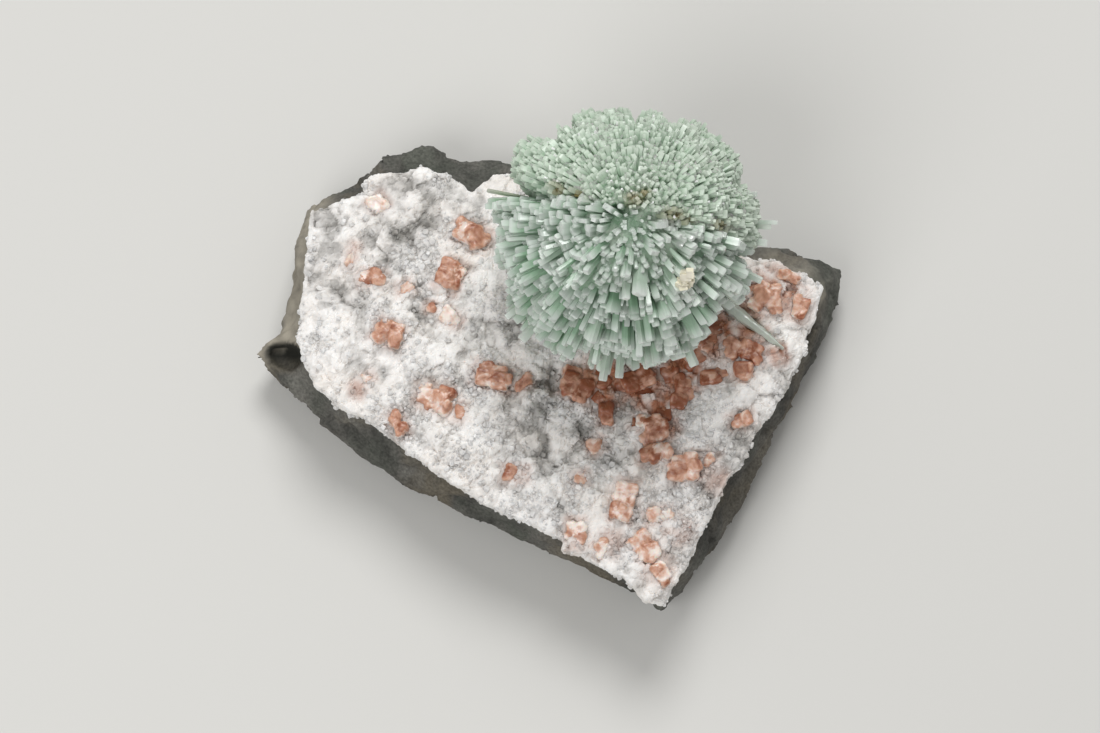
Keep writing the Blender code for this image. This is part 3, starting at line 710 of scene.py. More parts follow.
# Scolecite ball: two sheaves of square prisms that fan out from one point, with a seam between
ball = {
    "centre": (11.6, 15.4, 35.0), "tipRadius": 20.3,
    "fanPoint": (12.1, 18.6, 35.8), "fanLift": 11.0,
    "uneven": 0.9, "coreRough": 0.3, "coreBlend": 0.12, "coreFloor": 18.2, "lowestTip": 18.6,
    "aboveCore": (0.5, 1.1), "formPicks": (0, 0, 1, 2, 3),  # square rods come twice as often
    "voxel": 0.2, "mostTriangles": 190000,
    "sparkles": 170, "sparkleWidth": (0.2, 0.34), "sparkleRise": (0.1, 0.35), "sparkleLength": 0.6,
    "seamNormal": (0.235, 0.952, 0.196), "seamOffset": 0.17,
    "seamWidth": 0.06, "seamDepth": 0.8, "leftDepth": 4.6,
    "rodLength": 8.5,
    "closed": 0.4, "openFrom": 0.0, "openTo": 0.45,  # how far apart the rods stand, and where
    "fineSpread": 0.65,  # how far round the middle of the view the rods are finer
    # Bulges and hollows of the ball: angle in the photo's plane, lift to the eye, spread, rise
    "swells": [(139, 0.0, 0.15, 2.4), (154, 0.1, 0.12, -1.6), (112, 0.0, 0.12, 0.6), (61, 0.0, 0.12, 0.7),
               (40, 0.1, 0.3, 0.7), (15, 0.0, 0.12, 0.7), (-48, 0.0, 0.22, -2.4), (-100, 0.0, 0.12, 0.8),
               (-141, 0.0, 0.25, 1.5), (-166, 0.0, 0.2, 0.8), (167, 0.0, 0.15, 1.6), (-178, 0.0, 0.15, 0.9),
               (184, 0.65, 0.13, -2.6), (180, 0.85, 0.32, -2.0), (-18, 0.75, 0.22, -1.6),
               (-95, 0.95, 0.3, -1.0), (85, 0.0, 0.4, -0.6)],
    # Notches over the outline: angle in the photo's plane, width in degrees, depth
    "notches": [(126.0, 4.0, 2.4), (117.0, 2.4, 2.4), (86.0, 2.2, 2.6), (69.0, 4.0, 1.2), (53.0, 2.0, 0.8),
                (26.0, 4.0, 1.5), (-9.0, 4.0, 1.8), (-36.0, 7.0, 1.2), (-70.0, 5.0, 0.8), (-112.0, 3.0, 1.2)],
    "notchLift": 0.55,
    # Brown clay in the seam: right and up from the middle in the photo, and how wide
    "clay": [(-11.5, 7.7, 1.3), (-8.5, 6.6, 1.2), (0.8, 5.6, 1.6), (2.2, 6.6, 1.0), (6.9, 3.2, 1.7),
             (9.4, 2.6, 1.0), (15.1, 1.8, 1.5)],
    # Rods that stand out of the outline: angle in the photo's plane, reach, width, stain
    "standouts": [(6.6, 22.8, 0.75, 0.0), (5.0, 21.8, 0.8, 0.1), (160.6, 22.4, 0.5, 0.45),
                  (-61.8, 21.6, 1.2, 0.0), (-99.9, 21.6, 1.0, 0.0), (-93.4, 20.9, 1.0, 0.0),
                  (-1.5, 21.1, 1.1, 0.0), (-17.0, 21.2, 0.9, 0.0), (-118.5, 20.8, 1.0, 0.0),
                  (-136.5, 22.0, 1.2, 0.0), (-147.0, 21.7, 1.1, 0.0), (112.3, 20.6, 0.8, 0.0),
                  (19.5, 20.8, 0.9, 0.0)],
    # Forms of rod: sides, narrowing at the end, slant of the end, split in two
    "forms": [(4, 0.16, 0.0, False), (6, 0.2, 0.01, False), (4, 0.12, 0.0, True), (4, 0.1, 0.045, False)],
    "seed": 23,
}

# The rods of each sheaf, and the crisp ends that stand on the back one. A few are broad, and they grow in
# bundles: some bundles are level with the outline, the rest are sunk, and single rods stray below it.
sheaves = {
    "front": {"core": 16.6, "coreClosed": 1.9, "spacing": 1.22, "width": (0.8, 1.35), "flat": (0.7, 1.0),
              "broad": 0.2, "broadest": 2.4, "bundle": 2.9, "level": 0.36, "sunk": (0.8, 4.0),
              "ragged": 0.35, "stray": 0.3, "strayDepth": (0.8, 3.0), "gather": 0.4, "splay": 0.055,
              "opening": 12.0, "skip": 0.3, "fine": 0.45},
    "back": {"core": 18.6, "spacing": 0.85, "width": (0.6, 0.9), "flat": (0.75, 1.0),
             "broad": 0.1, "broadest": 1.4, "bundle": 3.0, "level": 0.0, "sunk": (0.5, 1.1),
             "ragged": 0.15, "stray": 0.1, "strayDepth": (0.1, 0.5), "gather": 0.3, "splay": 0.05,
             "opening": 9.0, "skip": 0.0, "fine": 0.0},
    "crisp": {"spacing": 0.98, "width": (0.5, 0.88), "flat": (0.75, 1.0),
              "broad": 0.15, "broadest": 1.5, "bundle": 3.0, "level": 0.5, "sunk": (0.0, 0.7),
              "ragged": 0.2, "stray": 0.3, "strayDepth": (-0.5, 0.4), "gather": 0.5, "splay": 0.04,
              "opening": 12.5, "skip": 0.0, "fine": 0.3},
}

toEye = Vector((0, -math.cos(tilt), math.sin(tilt)))
photoUp = Vector((0, math.sin(tilt), math.cos(tilt)))
photoRight = Vector((1, 0, 0))


def inPhotoPlane(degrees, lift):
    # a direction by its angle in the picture, turned towards the eye by lift
    angle = math.radians(degrees)
    return (photoRight * math.cos(angle) + photoUp * math.sin(angle) + toEye * lift).normalized()


def fibonacci(count, chance, shake):
    # directions spread evenly over a ball, each one shaken a little
    golden = math.pi * (3 - math.sqrt(5))
    for i in range(count):
        z = 1 - 2 * (i + 0.5) / count
        flat = math.sqrt(1 - z * z)
        even = Vector((flat * math.cos(i * golden), flat * math.sin(i * golden), z))
        yield (even + shaken(chance, shake)).normalized()


seamNormal = Vector(ball["seamNormal"]).normalized()
ballCentre = Vector(ball["centre"])
fanPoint = Vector(ball["fanPoint"])
swells = [(inPhotoPlane(angle, lift), spread, rise) for angle, lift, spread, rise in ball["swells"]]


def fromSeam(direction):
    # above 0 on the back sheaf's side of the seam
    waver = 0.05 * noise.noise(direction * 3.0)
    return direction.dot(seamNormal) - ball["seamOffset"] + waver


def groove(direction):
    # how deep the seam is here, and how near
    off = fromSeam(direction) / ball["seamWidth"]
    left = clamp((-direction.x - 0.5) / 0.35)
    share = math.exp(-off * off)
    patchy = 0.55 + 0.9 * noise.noise(direction * 5.0 + Vector((2, 2, 2)))
    return share * (ball["seamDepth"] * max(0.2, patchy) + ball["leftDepth"] * left), share


def tipRadius(direction):
    # how far the rods' ends reach from the middle
    radius = ball["tipRadius"] + ball["uneven"] * noise.noise(direction * 3.0)
    for middle, spread, rise in swells:
        away = (direction - middle).length / spread
        radius += rise * math.exp(-away * away)
    turn = math.degrees(math.atan2(direction.dot(photoUp), direction.x))
    edge = max(0.0, 1 - (direction.dot(toEye) / ball["notchLift"]) ** 2)
    for angle, width, depth in ball["notches"]:
        away = ((turn - angle + 180) % 360 - 180) / width
        radius -= depth * edge * math.exp(-away * away)
    return radius - groove(direction)[0]


def openness(direction):
    # how far apart the rods stand: close together at the top, open below and at the left
    share = (-direction.dot(photoUp) + 0.25 * max(0.0, -direction.x) - ball["openFrom"])
    share /= ball["openTo"] - ball["openFrom"]
    return ball["closed"] + (1 - ball["closed"]) * clamp(share)


def stainOf(direction):
    # brown clay here and there along the seam
    if direction.dot(toEye) < 0:
        return 0.0
    right, up = direction.x * ball["tipRadius"], direction.dot(photoUp) * ball["tipRadius"]
    near = [math.exp(-((right - x) ** 2 + (1.6 * (up - y)) ** 2) / size ** 2) for x, y, size in ball["clay"]]
    return max(near) * clamp(0.9 + 1.2 * noise.noise(direction * 22.0))


def frostOf(direction):
    # whiter at the right and in patches
    patches = noise.noise(direction * 4.0 + Vector((7, 1, 3))) + 0.6 * noise.noise(direction * 17.0)
    return clamp(0.25 + 0.5 * direction.x + patches)


def bundlesOf(sheaf, fan, chance):
    # a tree to look a bundle up, how far each one stops short, and where it points
    count = round(4 * math.pi * (ball["tipRadius"] / sheaf["bundle"]) ** 2)
    directions = list(fibonacci(count, chance, 0.35 * sheaf["bundle"] / ball["tipRadius"]))
    tree = KDTree(count)
    for i, direction in enumerate(directions):
        tree.insert(direction, i)
    tree.balance()
    drops = [chance.uniform(0, 0.4) if chance.random() < sheaf["level"] else chance.uniform(*sheaf["sunk"])
             for _ in directions]
    axes = []
    for direction in directions:
        axis = (ballCentre + direction * ball["tipRadius"] - fan).normalized()
        axes.append((axis + shaken(chance, sheaf["splay"])).normalized())
    return tree, drops, axes


def coreRadius(direction):
    # how far the solid inside reaches, which closes the gaps between the rods
    side = clamp(fromSeam(direction) / ball["coreBlend"] + 0.5)
    front = sheaves["front"]["core"] + (1 - openness(direction)) * sheaves["front"]["coreClosed"]
    return front + (sheaves["back"]["core"] - front) * side + tipRadius(direction) - ball["tipRadius"]


def rodRows(name, chance):
    # one row for each rod: tip, axis, width, depth, length, twist, form, stain and frost
    sheaf = sheaves[name]
    fan = fanPoint + toEye * sheaf["opening"]
    tree, drops, axes = bundlesOf(sheaf, fan, chance)
    count = round(4 * math.pi * (ball["tipRadius"] / sheaf["spacing"]) ** 2)
    rows = []
    for direction in fibonacci(count, chance, sheaf["spacing"] / ball["tipRadius"] * 0.3):
        isBack = fromSeam(direction) > 0
        if isBack == (name == "front") or chance.random() < sheaf["skip"] * openness(direction):
            continue
        _, bundle, _ = tree.find(direction)
        drop = drops[bundle] + abs(chance.gauss(0, sheaf["ragged"]))
        if chance.random() < sheaf["stray"]:
            drop += chance.uniform(*sheaf["strayDepth"])
        drop *= openness(direction) if name == "front" else 1.0
        reach = tipRadius(direction) - drop
        if name == "front":
            reach = max(reach, coreRadius(direction) + chance.uniform(*ball["aboveCore"]))
        tip = ballCentre + direction * reach
        if tip.z < ball["lowestTip"]:
            continue
        axis = (tip - fan).normalized().lerp(axes[bundle], sheaf["gather"])
        axis = (axis + shaken(chance, sheaf["splay"])).normalized()
        width = chance.uniform(*sheaf["width"])
        if chance.random() < sheaf["broad"]:
            width = chance.uniform(sheaf["width"][1], sheaf["broadest"])
            thick = chance.uniform(*sheaf["width"])
        else:
            thick = width * chance.uniform(*sheaf["flat"])
        slim = 1 - sheaf["fine"] * max(0.0, 1 - (direction - toEye).length / ball["fineSpread"])
        width, thick = width * slim, thick * slim
        frost = clamp(frostOf(direction) + chance.uniform(-0.15, 0.15))
        rows.append((tip, axis, width, thick, ball["rodLength"], chance.uniform(0, math.pi),
                     chance.choice(ball["formPicks"]), stainOf(direction), frost))
    return rows


def rodForm(name, sides, end, slant, split):
    # a prism one unit long with its flat end at the origin
    bm = bmesh.new()
    parts = [(-0.24, 0.0, 0.55, 0.0), (0.26, 0.05, 0.5, -0.07)] if split else [(0.0, 0.0, 1.0, 0.0)]
    for shiftX, shiftY, wide, lower in parts:
        rings = []
        for level, share in ((-1.0, 0.8), (-0.035, 1.0), (0.0, 1.0 - end)):
            ring = []
            for i in range(sides):
                angle = math.tau * (i + 0.5) / sides
                reach = 0.5 / math.cos(math.pi / sides)
                x = math.cos(angle) * reach * share
                y = math.sin(angle) * reach * share
                lift = slant * x if level > -0.5 else 0.0
                ring.append((shiftX + x * wide, shiftY + y, level + lower + lift))
            rings.append(ring)
        loftInto(bm, rings)
    bmesh.ops.recalc_face_normals(bm, faces=bm.faces)
    mesh = meshFrom(bm, name)
    setAttribute(mesh, "down", -pointsOf(mesh)[:, 2] * mm * ball["rodLength"])
    return newPiece(name, mesh)


def rodTree(forms):
    tree, entry = newTree("rods", [("Thickness", "NodeSocketFloat"), ("Length", "NodeSocketFloat"),
                                   ("Material", "NodeSocketMaterial")])
    choice = choiceOf(tree, reversed(forms))
    axis, size, twist, form = (
        addNode(tree, "GeometryNodeInputNamedAttribute", {"Name": name}, data_type=kind)
        for name, kind in (("axis", "FLOAT_VECTOR"), ("size", "FLOAT_VECTOR"), ("twist", "FLOAT"),
                           ("form", "INT")))
    aligned = addNode(tree, "FunctionNodeAlignRotationToVector", None, {"Vector": axis.outputs["Attribute"]},
                      axis="Z")
    spin = addNode(tree, "FunctionNodeAxisAngleToRotation", {"Axis": (0, 0, 1)},
                   {"Angle": twist.outputs["Attribute"]})
    turned = addNode(tree, "FunctionNodeRotateRotation", None,
                     {"Rotation": aligned.outputs["Rotation"], "Rotate By": spin.outputs["Rotation"]},
                     rotation_space="LOCAL")
    scales = addNode(tree, "ShaderNodeCombineXYZ", None,
                     {"X": entry.outputs["Thickness"], "Y": entry.outputs["Thickness"],
                      "Z": entry.outputs["Length"]})
    sized = addNode(tree, "ShaderNodeVectorMath", None,
                    {0: size.outputs["Attribute"], 1: scales.outputs["Vector"]}, operation="MULTIPLY")
    stood = addNode(tree, "GeometryNodeInstanceOnPoints", {"Pick Instance": True},
                    {"Points": entry.outputs["Geometry"], "Instance": choice.outputs["Geometry"],
                     "Instance Index": form.outputs["Attribute"], "Rotation": turned.outputs["Rotation"],
                     "Scale": sized.outputs["Vector"]})
    real = addNode(tree, "GeometryNodeRealizeInstances", None, {"Geometry": stood.outputs["Instances"]})
    painted = addNode(tree, "GeometryNodeSetMaterial", None,
                      {"Geometry": real.outputs["Geometry"], "Material": entry.outputs["Material"]})
    addNode(tree, "NodeGroupOutput", None, {"Geometry": painted.outputs["Geometry"]})
    return tree


# Greens of each finish, from deep in the gaps to the rods' ends, with frosted and clay-stained places; the
# deep green is painted shade and the pale ends are painted light
finishes = {
    "frosted": {"deep": "#729B7A", "middle": "#93AD94", "end": "#C6D3C2", "frost": "#D3DACD",
                "roughness": 0.36, "clear": 0.0, "milk": 0.85, "streak": 0.12, "relief": 0.1, "pale": 1.6},
    "milky": {"deep": "#9DB79E", "middle": "#ABC1AB", "end": "#CEDACB", "frost": "#D6DED2",
              "roughness": 0.34, "clear": 0.0, "milk": 0.0, "streak": 0.08, "relief": 0.04, "pale": 1.2},
    "glassy": {"deep": "#6C9774", "middle": "#A2C3A6", "end": "#EEF7EF", "frost": "#F2F7F0",
               "roughness": 0.18, "clear": 0.2, "milk": 0.2, "streak": 0.08, "relief": 0.04, "pale": 2.0},
    # painted highlights: near-white rods that stand for glints
    "sparkling": {"deep": "#E6F0E6", "middle": "#F2F7F0", "end": "#FCFFFB", "frost": "#FFFFFF",
                  "roughness": 0.12, "clear": 0.0, "milk": 0.2, "streak": 0.0, "relief": 0.0, "pale": 1.0},
    "clay": "#7C7142",
    "deepAt": (15.0, 18.8),  # where the painted shade turns from deep to middle, from the ball's centre
    "cell": 0.85,  # width of the streaks at the rods' ends
}


def scoleciteMaterial(kind):
    # pale green glassy rods: light goes round inside them; their pale ends are painted light and the deep
    # green gaps painted shade
    finish = finishes[kind]
    made, tree = newMaterial(kind + "_scolecite")
    place = addNode(tree, "ShaderNodeTexCoord")
    spot = place.outputs["Object"]
    fromCentre = addNode(tree, "ShaderNodeVectorMath", {1: ballCentre * mm}, {0: spot}, operation="SUBTRACT")
    reach = addNode(tree, "ShaderNodeVectorMath", None, {0: fromCentre.outputs[0]}, operation="LENGTH")
    # painted shade: darker green deeper inside the ball, between the rods
    inner, outer = finishes["deepAt"]
    deepOf = addNode(tree, "ShaderNodeMapRange", {"From Min": inner * mm, "From Max": outer * mm},
                     {"Value": reach.outputs["Value"]})
    base = addNode(tree, "ShaderNodeMix", {6: toLinear(finish["deep"]), 7: toLinear(finish["middle"])},
                   {0: deepOf.outputs["Result"]}, data_type="RGBA")
    # painted light: paler towards each rod's end
    down = addNode(tree, "ShaderNodeAttribute", attribute_name="down")
    tipOf = addNode(tree, "ShaderNodeMapRange", {"From Min": finish["pale"], "From Max": 0.0, "To Max": 0.9},
                    {"Value": down.outputs["Fac"]})
    tipped = addNode(tree, "ShaderNodeMix", {7: toLinear(finish["end"])},
                     {0: tipOf.outputs["Result"], 6: base.outputs[2]}, data_type="RGBA")
    frost = addNode(tree, "ShaderNodeAttribute", attribute_name="frost")
    halfFrost = addNode(tree, "ShaderNodeMath", {1: 0.5}, {0: frost.outputs["Fac"]}, operation="MULTIPLY")
    varied = addNode(tree, "ShaderNodeMix", {7: toLinear(finish["frost"])},
                     {0: halfFrost.outputs[0], 6: tipped.outputs[2]}, data_type="RGBA")
    stain = addNode(tree, "ShaderNodeAttribute", attribute_name="stain")
    colour = addNode(tree, "ShaderNodeMix", {7: toLinear(finishes["clay"])},
                     {0: stain.outputs["Fac"], 6: varied.outputs[2]}, data_type="RGBA")
    fan = (fanPoint + toEye * ball["fanLift"]) * mm
    fromFan = addNode(tree, "ShaderNodeVectorMath", {1: fan}, {0: spot}, operation="SUBTRACT")
    outward = addNode(tree, "ShaderNodeVectorMath", None, {0: fromFan.outputs[0]}, operation="NORMALIZE")
    # seen from the fan point every rod is one cell, so the pattern runs along the rods as streaks
    cells = addNode(tree, "ShaderNodeTexVoronoi", {"Scale": ball["tipRadius"] / finishes["cell"]},
                    {"Vector": outward.outputs[0]})
    tint = addNode(tree, "ShaderNodeMapRange",
                   {"To Min": 1 - finish["streak"], "To Max": 1 + finish["streak"]},
                   {"Value": cells.outputs["Color"]})
    tinted = addNode(tree, "ShaderNodeVectorMath", None,
                     {0: colour.outputs[2], 1: tint.outputs["Result"]}, operation="MULTIPLY")
    bump = addNode(tree, "ShaderNodeBump", {"Strength": 0.6, "Distance": finish["relief"] * mm},
                   {"Height": cells.outputs["Distance"]}, invert=True)
    shader = addNode(tree, "ShaderNodeBsdfPrincipled",
                     {"Roughness": finish["roughness"], "IOR": 1.52,
                      "Transmission Weight": finish["clear"], "Subsurface Weight": finish["milk"],
                      "Subsurface Radius": (1.9, 2.6, 2.0), "Subsurface Scale": mm},
                     {"Base Color": tinted.outputs[0], "Normal": bump.outputs["Normal"]})
    addNode(tree, "ShaderNodeOutputMaterial", None, {"Surface": shader.outputs["BSDF"]})
    return made


def makeRods(name, rows, tree, material):
    tips, axes, widths, depths, lengths, twists, forms, stains, frosts = zip(*rows)
    mesh = bpy.data.meshes.new(name)
    mesh.from_pydata([tip * mm for tip in tips], [], [])
    setAttribute(mesh, "axis", [tuple(axis) for axis in axes], "FLOAT_VECTOR")
    setAttribute(mesh, "size", list(zip(widths, depths, lengths)), "FLOAT_VECTOR")
    setAttribute(mesh, "twist", twists)
    setAttribute(mesh, "form", forms, "INT")
    setAttribute(mesh, "stain", stains)
    setAttribute(mesh, "frost", frosts)
    piece = newPiece(name, mesh)
    runTree(piece, tree, {"Thickness": mm, "Length": mm, "Material": material})
    print(name, len(rows), "rods", len(piece.data.polygons), "faces")
    return piece


def coreInto(bm):
    # the solid inside of both sheaves
    core = bmesh.ops.create_icosphere(bm, subdivisions=6, radius=1.0)
    for vertex in core["verts"]:
        direction = vertex.co.normalized()
        radius = coreRadius(direction) + ball["coreRough"] * noise.noise(direction * 24.0)
        vertex.co = (ballCentre + direction * radius) * mm
        vertex.co.z = max(vertex.co.z, ball["coreFloor"] * mm)


def fuseWithCore(piece, material):
    # the back rods and the inside as one frosted mass that light passes through
    bm = bmesh.new()
    bm.from_mesh(piece.data)
    coreInto(bm)
    bm.to_mesh(piece.data)
    bm.free()
    remesh(piece, ball["voxel"])
    share = ball["mostTriangles"] / (2 * len(piece.data.polygons))
    print("mass", 2 * len(piece.data.polygons), "triangles before thinning")
    if share < 1:
        change = piece.modifiers.new("thin", "DECIMATE")
        change.ratio = share
        evaluated(piece)
    mesh = piece.data
    away = [Vector(spot) - ballCentre for spot in pointsOf(mesh)]
    # depth below the outline, for the painted light at the ends and the painted shade in the gaps and the
    # seam
    setAttribute(mesh, "down", [tipRadius(spot.normalized()) - spot.length for spot in away])
    setAttribute(mesh, "stain", [stainOf(spot.normalized()) for spot in away])
    setAttribute(mesh, "frost", [frostOf(spot.normalized()) for spot in away])
    mesh.materials.clear()
    mesh.materials.append(material)
    mesh.shade_smooth()


def standoutRows():
    # the rods that are placed one by one, in the same rows
    rows = []
    for angle, reach, width, stain in ball["standouts"]:
        tip = ballCentre + inPhotoPlane(angle, 0.06) * reach
        axis = (tip - fanPoint).normalized()
        rows.append((tip, axis, width, width * 0.85, ball["rodLength"], angle, 0, stain, 1.0))
    return rows


def sparkleRows(chance):
    # painted highlights: small near-white glossy tips that stand for glints, mostly on the frosty back
    fan = fanPoint + toEye * sheaves["back"]["opening"]
    rows = []
    for direction in fibonacci(2 * ball["sparkles"], chance, 0.15):
        if fromSeam(direction) < -0.06 or direction.dot(toEye) < 0.25 or groove(direction)[0] > 0.5:
            continue
        tip = ballCentre + direction * (tipRadius(direction) - 0.5 + chance.uniform(*ball["sparkleRise"]))
        axis = ((tip - fan).normalized() + shaken(chance, 0.2)).normalized()
        width = chance.uniform(*ball["sparkleWidth"])
        rows.append((tip, axis, width, width, ball["sparkleLength"], chance.uniform(0, math.pi),
                     chance.choice((0, 1, 3)), 0.0, 1.0))
    return rows


def makeBall():
    chance = random.Random(ball["seed"])
    forms = [rodForm("rod_form", *shape) for shape in ball["forms"]]
    tree = rodTree(forms)
    frosted, milky, glassy, sparkling = map(scoleciteMaterial, ("frosted", "milky", "glassy", "sparkling"))
    mass = makeRods("scolecite_back_sheaf", rodRows("back", chance), tree, frosted)
    fuseWithCore(mass, frosted)
    pieces = [mass, makeRods("scolecite_back_tips", rodRows("crisp", chance), tree, milky),
              makeRods("scolecite_front_sheaf", rodRows("front", chance) + standoutRows(), tree, glassy),
              makeRods("scolecite_sparkles", sparkleRows(chance), tree, sparkling)]
    for piece in pieces:
        finishPiece(piece, "scolecite", "scolecite_ball")
    for form in forms:
        bpy.data.objects.remove(form)
    return glassy


scoleciteFinish = makeBall()


# A cluster of cream crystals that grew on the front of the ball
cluster = {
    "right": 8.4, "down": 6.4, "reach": 20.0,  # from the ball's middle in the photo, and how far out
    "count": 26, "spread": 0.5, "size": (0.8, 1.5), "shape": (1.0, 0.8, 0.6), "seed": 9,
    "cream": "#E9E2C8",
}


def makeCluster():
    # waxy cream crystals that let a little light in
    made, tree = newMaterial("cream_crystals")
    shader = addNode(tree, "ShaderNodeBsdfPrincipled",
                     {"Base Color": toLinear(cluster["cream"]), "Roughness": 0.35, "IOR": 1.5,
                      "Subsurface Weight": 0.4, "Subsurface Radius": (0.9, 0.9, 0.7), "Subsurface Scale": mm})
    addNode(tree, "ShaderNodeOutputMaterial", None, {"Surface": shader.outputs["BSDF"]})
    chance = random.Random(cluster["seed"])
    lift = math.sqrt(ball["tipRadius"] ** 2 - cluster["right"] ** 2 - cluster["down"] ** 2)
    flat = math.hypot(cluster["right"], cluster["down"])
    degrees = math.degrees(math.atan2(-cluster["down"], cluster["right"]))
    direction = inPhotoPlane(degrees, lift / flat)
    bm = bmesh.new()
    for _ in range(cluster["count"]):
        spot = ballCentre + direction * cluster["reach"] + shaken(chance, cluster["spread"])
        turn = Matrix.Rotation(chance.uniform(0, math.tau), 4, shaken(chance, 1))
        size = chance.uniform(*cluster["size"])
        grown = Matrix.Diagonal((*(size * share for share in cluster["shape"]), 1.0))
        place = Matrix.Scale(mm, 4) @ Matrix.Translation(spot) @ turn @ grown
        bmesh.ops.create_cube(bm, size=1.0, matrix=place)
    bmesh.ops.recalc_face_normals(bm, faces=bm.faces)
    finishPiece(newPiece("cream_cluster", meshFrom(bm, "cream_cluster"), made), "heulandite")


makeCluster()


# The loose blade: a narrow green ridge that thins to a point
blade = {
    "steps": 16, "ragged": 0.1, "uneven": 0.08, "rise": 0.25, "sink": 1.1, "lowest": 15.5, "seed": 3,
    "down": 0.7, "frost": 0.6,  # as deep below a rod's end, and as frosted, as its colour is
    # Half width at the root, the middle and the point
    "half": (0.95, 0.75, 0.3),
    # Across and below the crest, all the way round
    "section": [(-1.0, -4.0), (-1.0, -0.9), (-0.2, 0.0), (0.15, -0.05), (1.0, -1.3), (1.0, -4.0)],
}


def makeBlade():
    seat = seats["scolecite_blade"]
    chance = random.Random(blade["seed"])
    along = np.array((math.cos(seat["turn"]), math.sin(seat["turn"])))
    if along[0] < 0:
        along = -along  # towards the right, where the point is
    across = np.array((-along[1], along[0]))
    middle = np.array((seat["x"], seat["y"]))
    bm = bmesh.new()
    rings = []
    for i in range(blade["steps"] + 1):
        share = i / blade["steps"]
        half = np.interp(share, (0.0, 0.6, 1.0), blade["half"]) * (1 + chance.gauss(0, blade["ragged"]))
        crest = seat["top"] + blade["rise"] - blade["sink"] * share ** 3 + chance.gauss(0, blade["uneven"])
        ring = []
        for aside, lower in blade["section"]:
            x, y = middle + along * (share - 0.5) * seat["length"] + across * aside * half
            ring.append(Vector((x, y, max(blade["lowest"], crest + lower))) * mm)
        rings.append(ring)
    loftInto(bm, rings)
    bmesh.ops.recalc_face_normals(bm, faces=bm.faces)
    mesh = meshFrom(bm, "scolecite_blade_ridge")
    for name in ("down", "frost"):
        setAttribute(mesh, name, np.full(len(mesh.vertices), blade[name]))
    finishPiece(newPiece("scolecite_blade_ridge", mesh, scoleciteFinish), "scolecite", "scolecite_blade")


makeBlade()


# Stilbite: bundles of thin salmon plates that grew side by side, with stepped pearly tops
stilbite = {
    "grow": 0.96,  # the crystals' share of their seats
    "plate": 1.1, "block": 2.3, "root": 2.2,
    "lean": 11.0, "fan": 9.0,  # in degrees
    "blockOverlap": (1.15, 1.5), "plateOverlap": (1.3, 1.9), "plateLength": (0.75, 1.05),
    "sunk": 0.35, "slide": 0.07, "outerDrop": 0.4, "outerShrink": 0.2,
    "corner": (0.2, 0.45), "round": 0.4,  # how far the corners are cut and worn
    "voxel": 0.17, "uneven": [(1.5, 0.16), (0.6, 0.05)],  # size and rise
    "cloudSize": 1.6, "fineSize": 0.22,
    "red": "#935639", "salmon": "#D1A38B", "pale": "#F4E6DD",
    # How pale each node is, from 0 for red to 1 for pale
    "paleness": {"stilbite_01": 0.38, "stilbite_02": 0.34, "stilbite_03": 0.34, "stilbite_04": 0.34,
                 "stilbite_10": 0.66, "stilbite_11": 0.7, "stilbite_12": 0.6, "stilbite_13": 0.6,
                 "stilbite_14": 0.5, "stilbite_15": 0.62, "stilbite_23": 0.45, "stilbite_24": 0.5},
    "usual": 0.4, "plateToPlate": 0.15,
    "ballShadow": {"x": 14.0, "y": -2.0, "radius": 13.0, "by": 0.35},  # painted shadow of the ball: the stilbites under it turn redder and darker
    # White over the foot of each crystal: strength, depth it starts at, depth it takes, noise
    "veil": 0.48, "veilFrom": 0.5, "veilDepth": 1.2, "veilNoise": 0.6,
}


def stilbiteMaterial():
    # salmon plates with a pearly lustre on their broad faces
    made, tree = newMaterial("pearly_stilbite")
    place = addNode(tree, "ShaderNodeTexCoord")
    spot = place.outputs["Object"]
    tone = addNode(tree, "ShaderNodeAttribute", attribute_name="tone")
    cloud = addNode(tree, "ShaderNodeTexNoise",
                    {"Scale": perSize(stilbite["cloudSize"]), "Detail": 3.0, "Distortion": 0.8},
                    {"Vector": spot})
    fine = addNode(tree, "ShaderNodeTexNoise", {"Scale": perSize(stilbite["fineSize"]), "Detail": 2.0},
                   {"Vector": spot})
    cloudOf = addNode(tree, "ShaderNodeMapRange",
                      {"From Min": 0.3, "From Max": 0.7, "To Min": -0.36, "To Max": 0.36},
                      {"Value": cloud.outputs["Fac"]})
    mixed = addNode(tree, "ShaderNodeMath", None, {0: tone.outputs["Fac"], 1: cloudOf.outputs["Result"]},
                    operation="ADD", use_clamp=True)
    lower = addNode(tree, "ShaderNodeMapRange", {"From Max": 0.5}, {"Value": mixed.outputs[0]})
    redder = addNode(tree, "ShaderNodeMix", {6: toLinear(stilbite["red"]), 7: toLinear(stilbite["salmon"])},
                     {0: lower.outputs["Result"]}, data_type="RGBA")
    upper = addNode(tree, "ShaderNodeMapRange", {"From Min": 0.5, "From Max": 1.0},
                    {"Value": mixed.outputs[0]})
    colour = addNode(tree, "ShaderNodeMix", {7: toLinear(stilbite["pale"])},
                     {0: upper.outputs["Result"], 6: redder.outputs[2]}, data_type="RGBA")
    bump = addNode(tree, "ShaderNodeBump", {"Strength": 0.2, "Distance": 0.05 * mm},
                   {"Height": fine.outputs["Fac"]})
    shader = addNode(tree, "ShaderNodeBsdfPrincipled",
                     {"Roughness": 0.38, "IOR": 1.5, "Subsurface Weight": 0.45,
                      "Subsurface Radius": (1.4, 0.9, 0.6), "Subsurface Scale": mm,
                      "Coat Weight": 0.25, "Coat Roughness": 0.2},
                     {"Base Color": colour.outputs[2], "Normal": bump.outputs["Normal"]})
    addNode(tree, "ShaderNodeOutputMaterial", None, {"Surface": shader.outputs["BSDF"]})
    return made


stilbiteFinish = stilbiteMaterial()


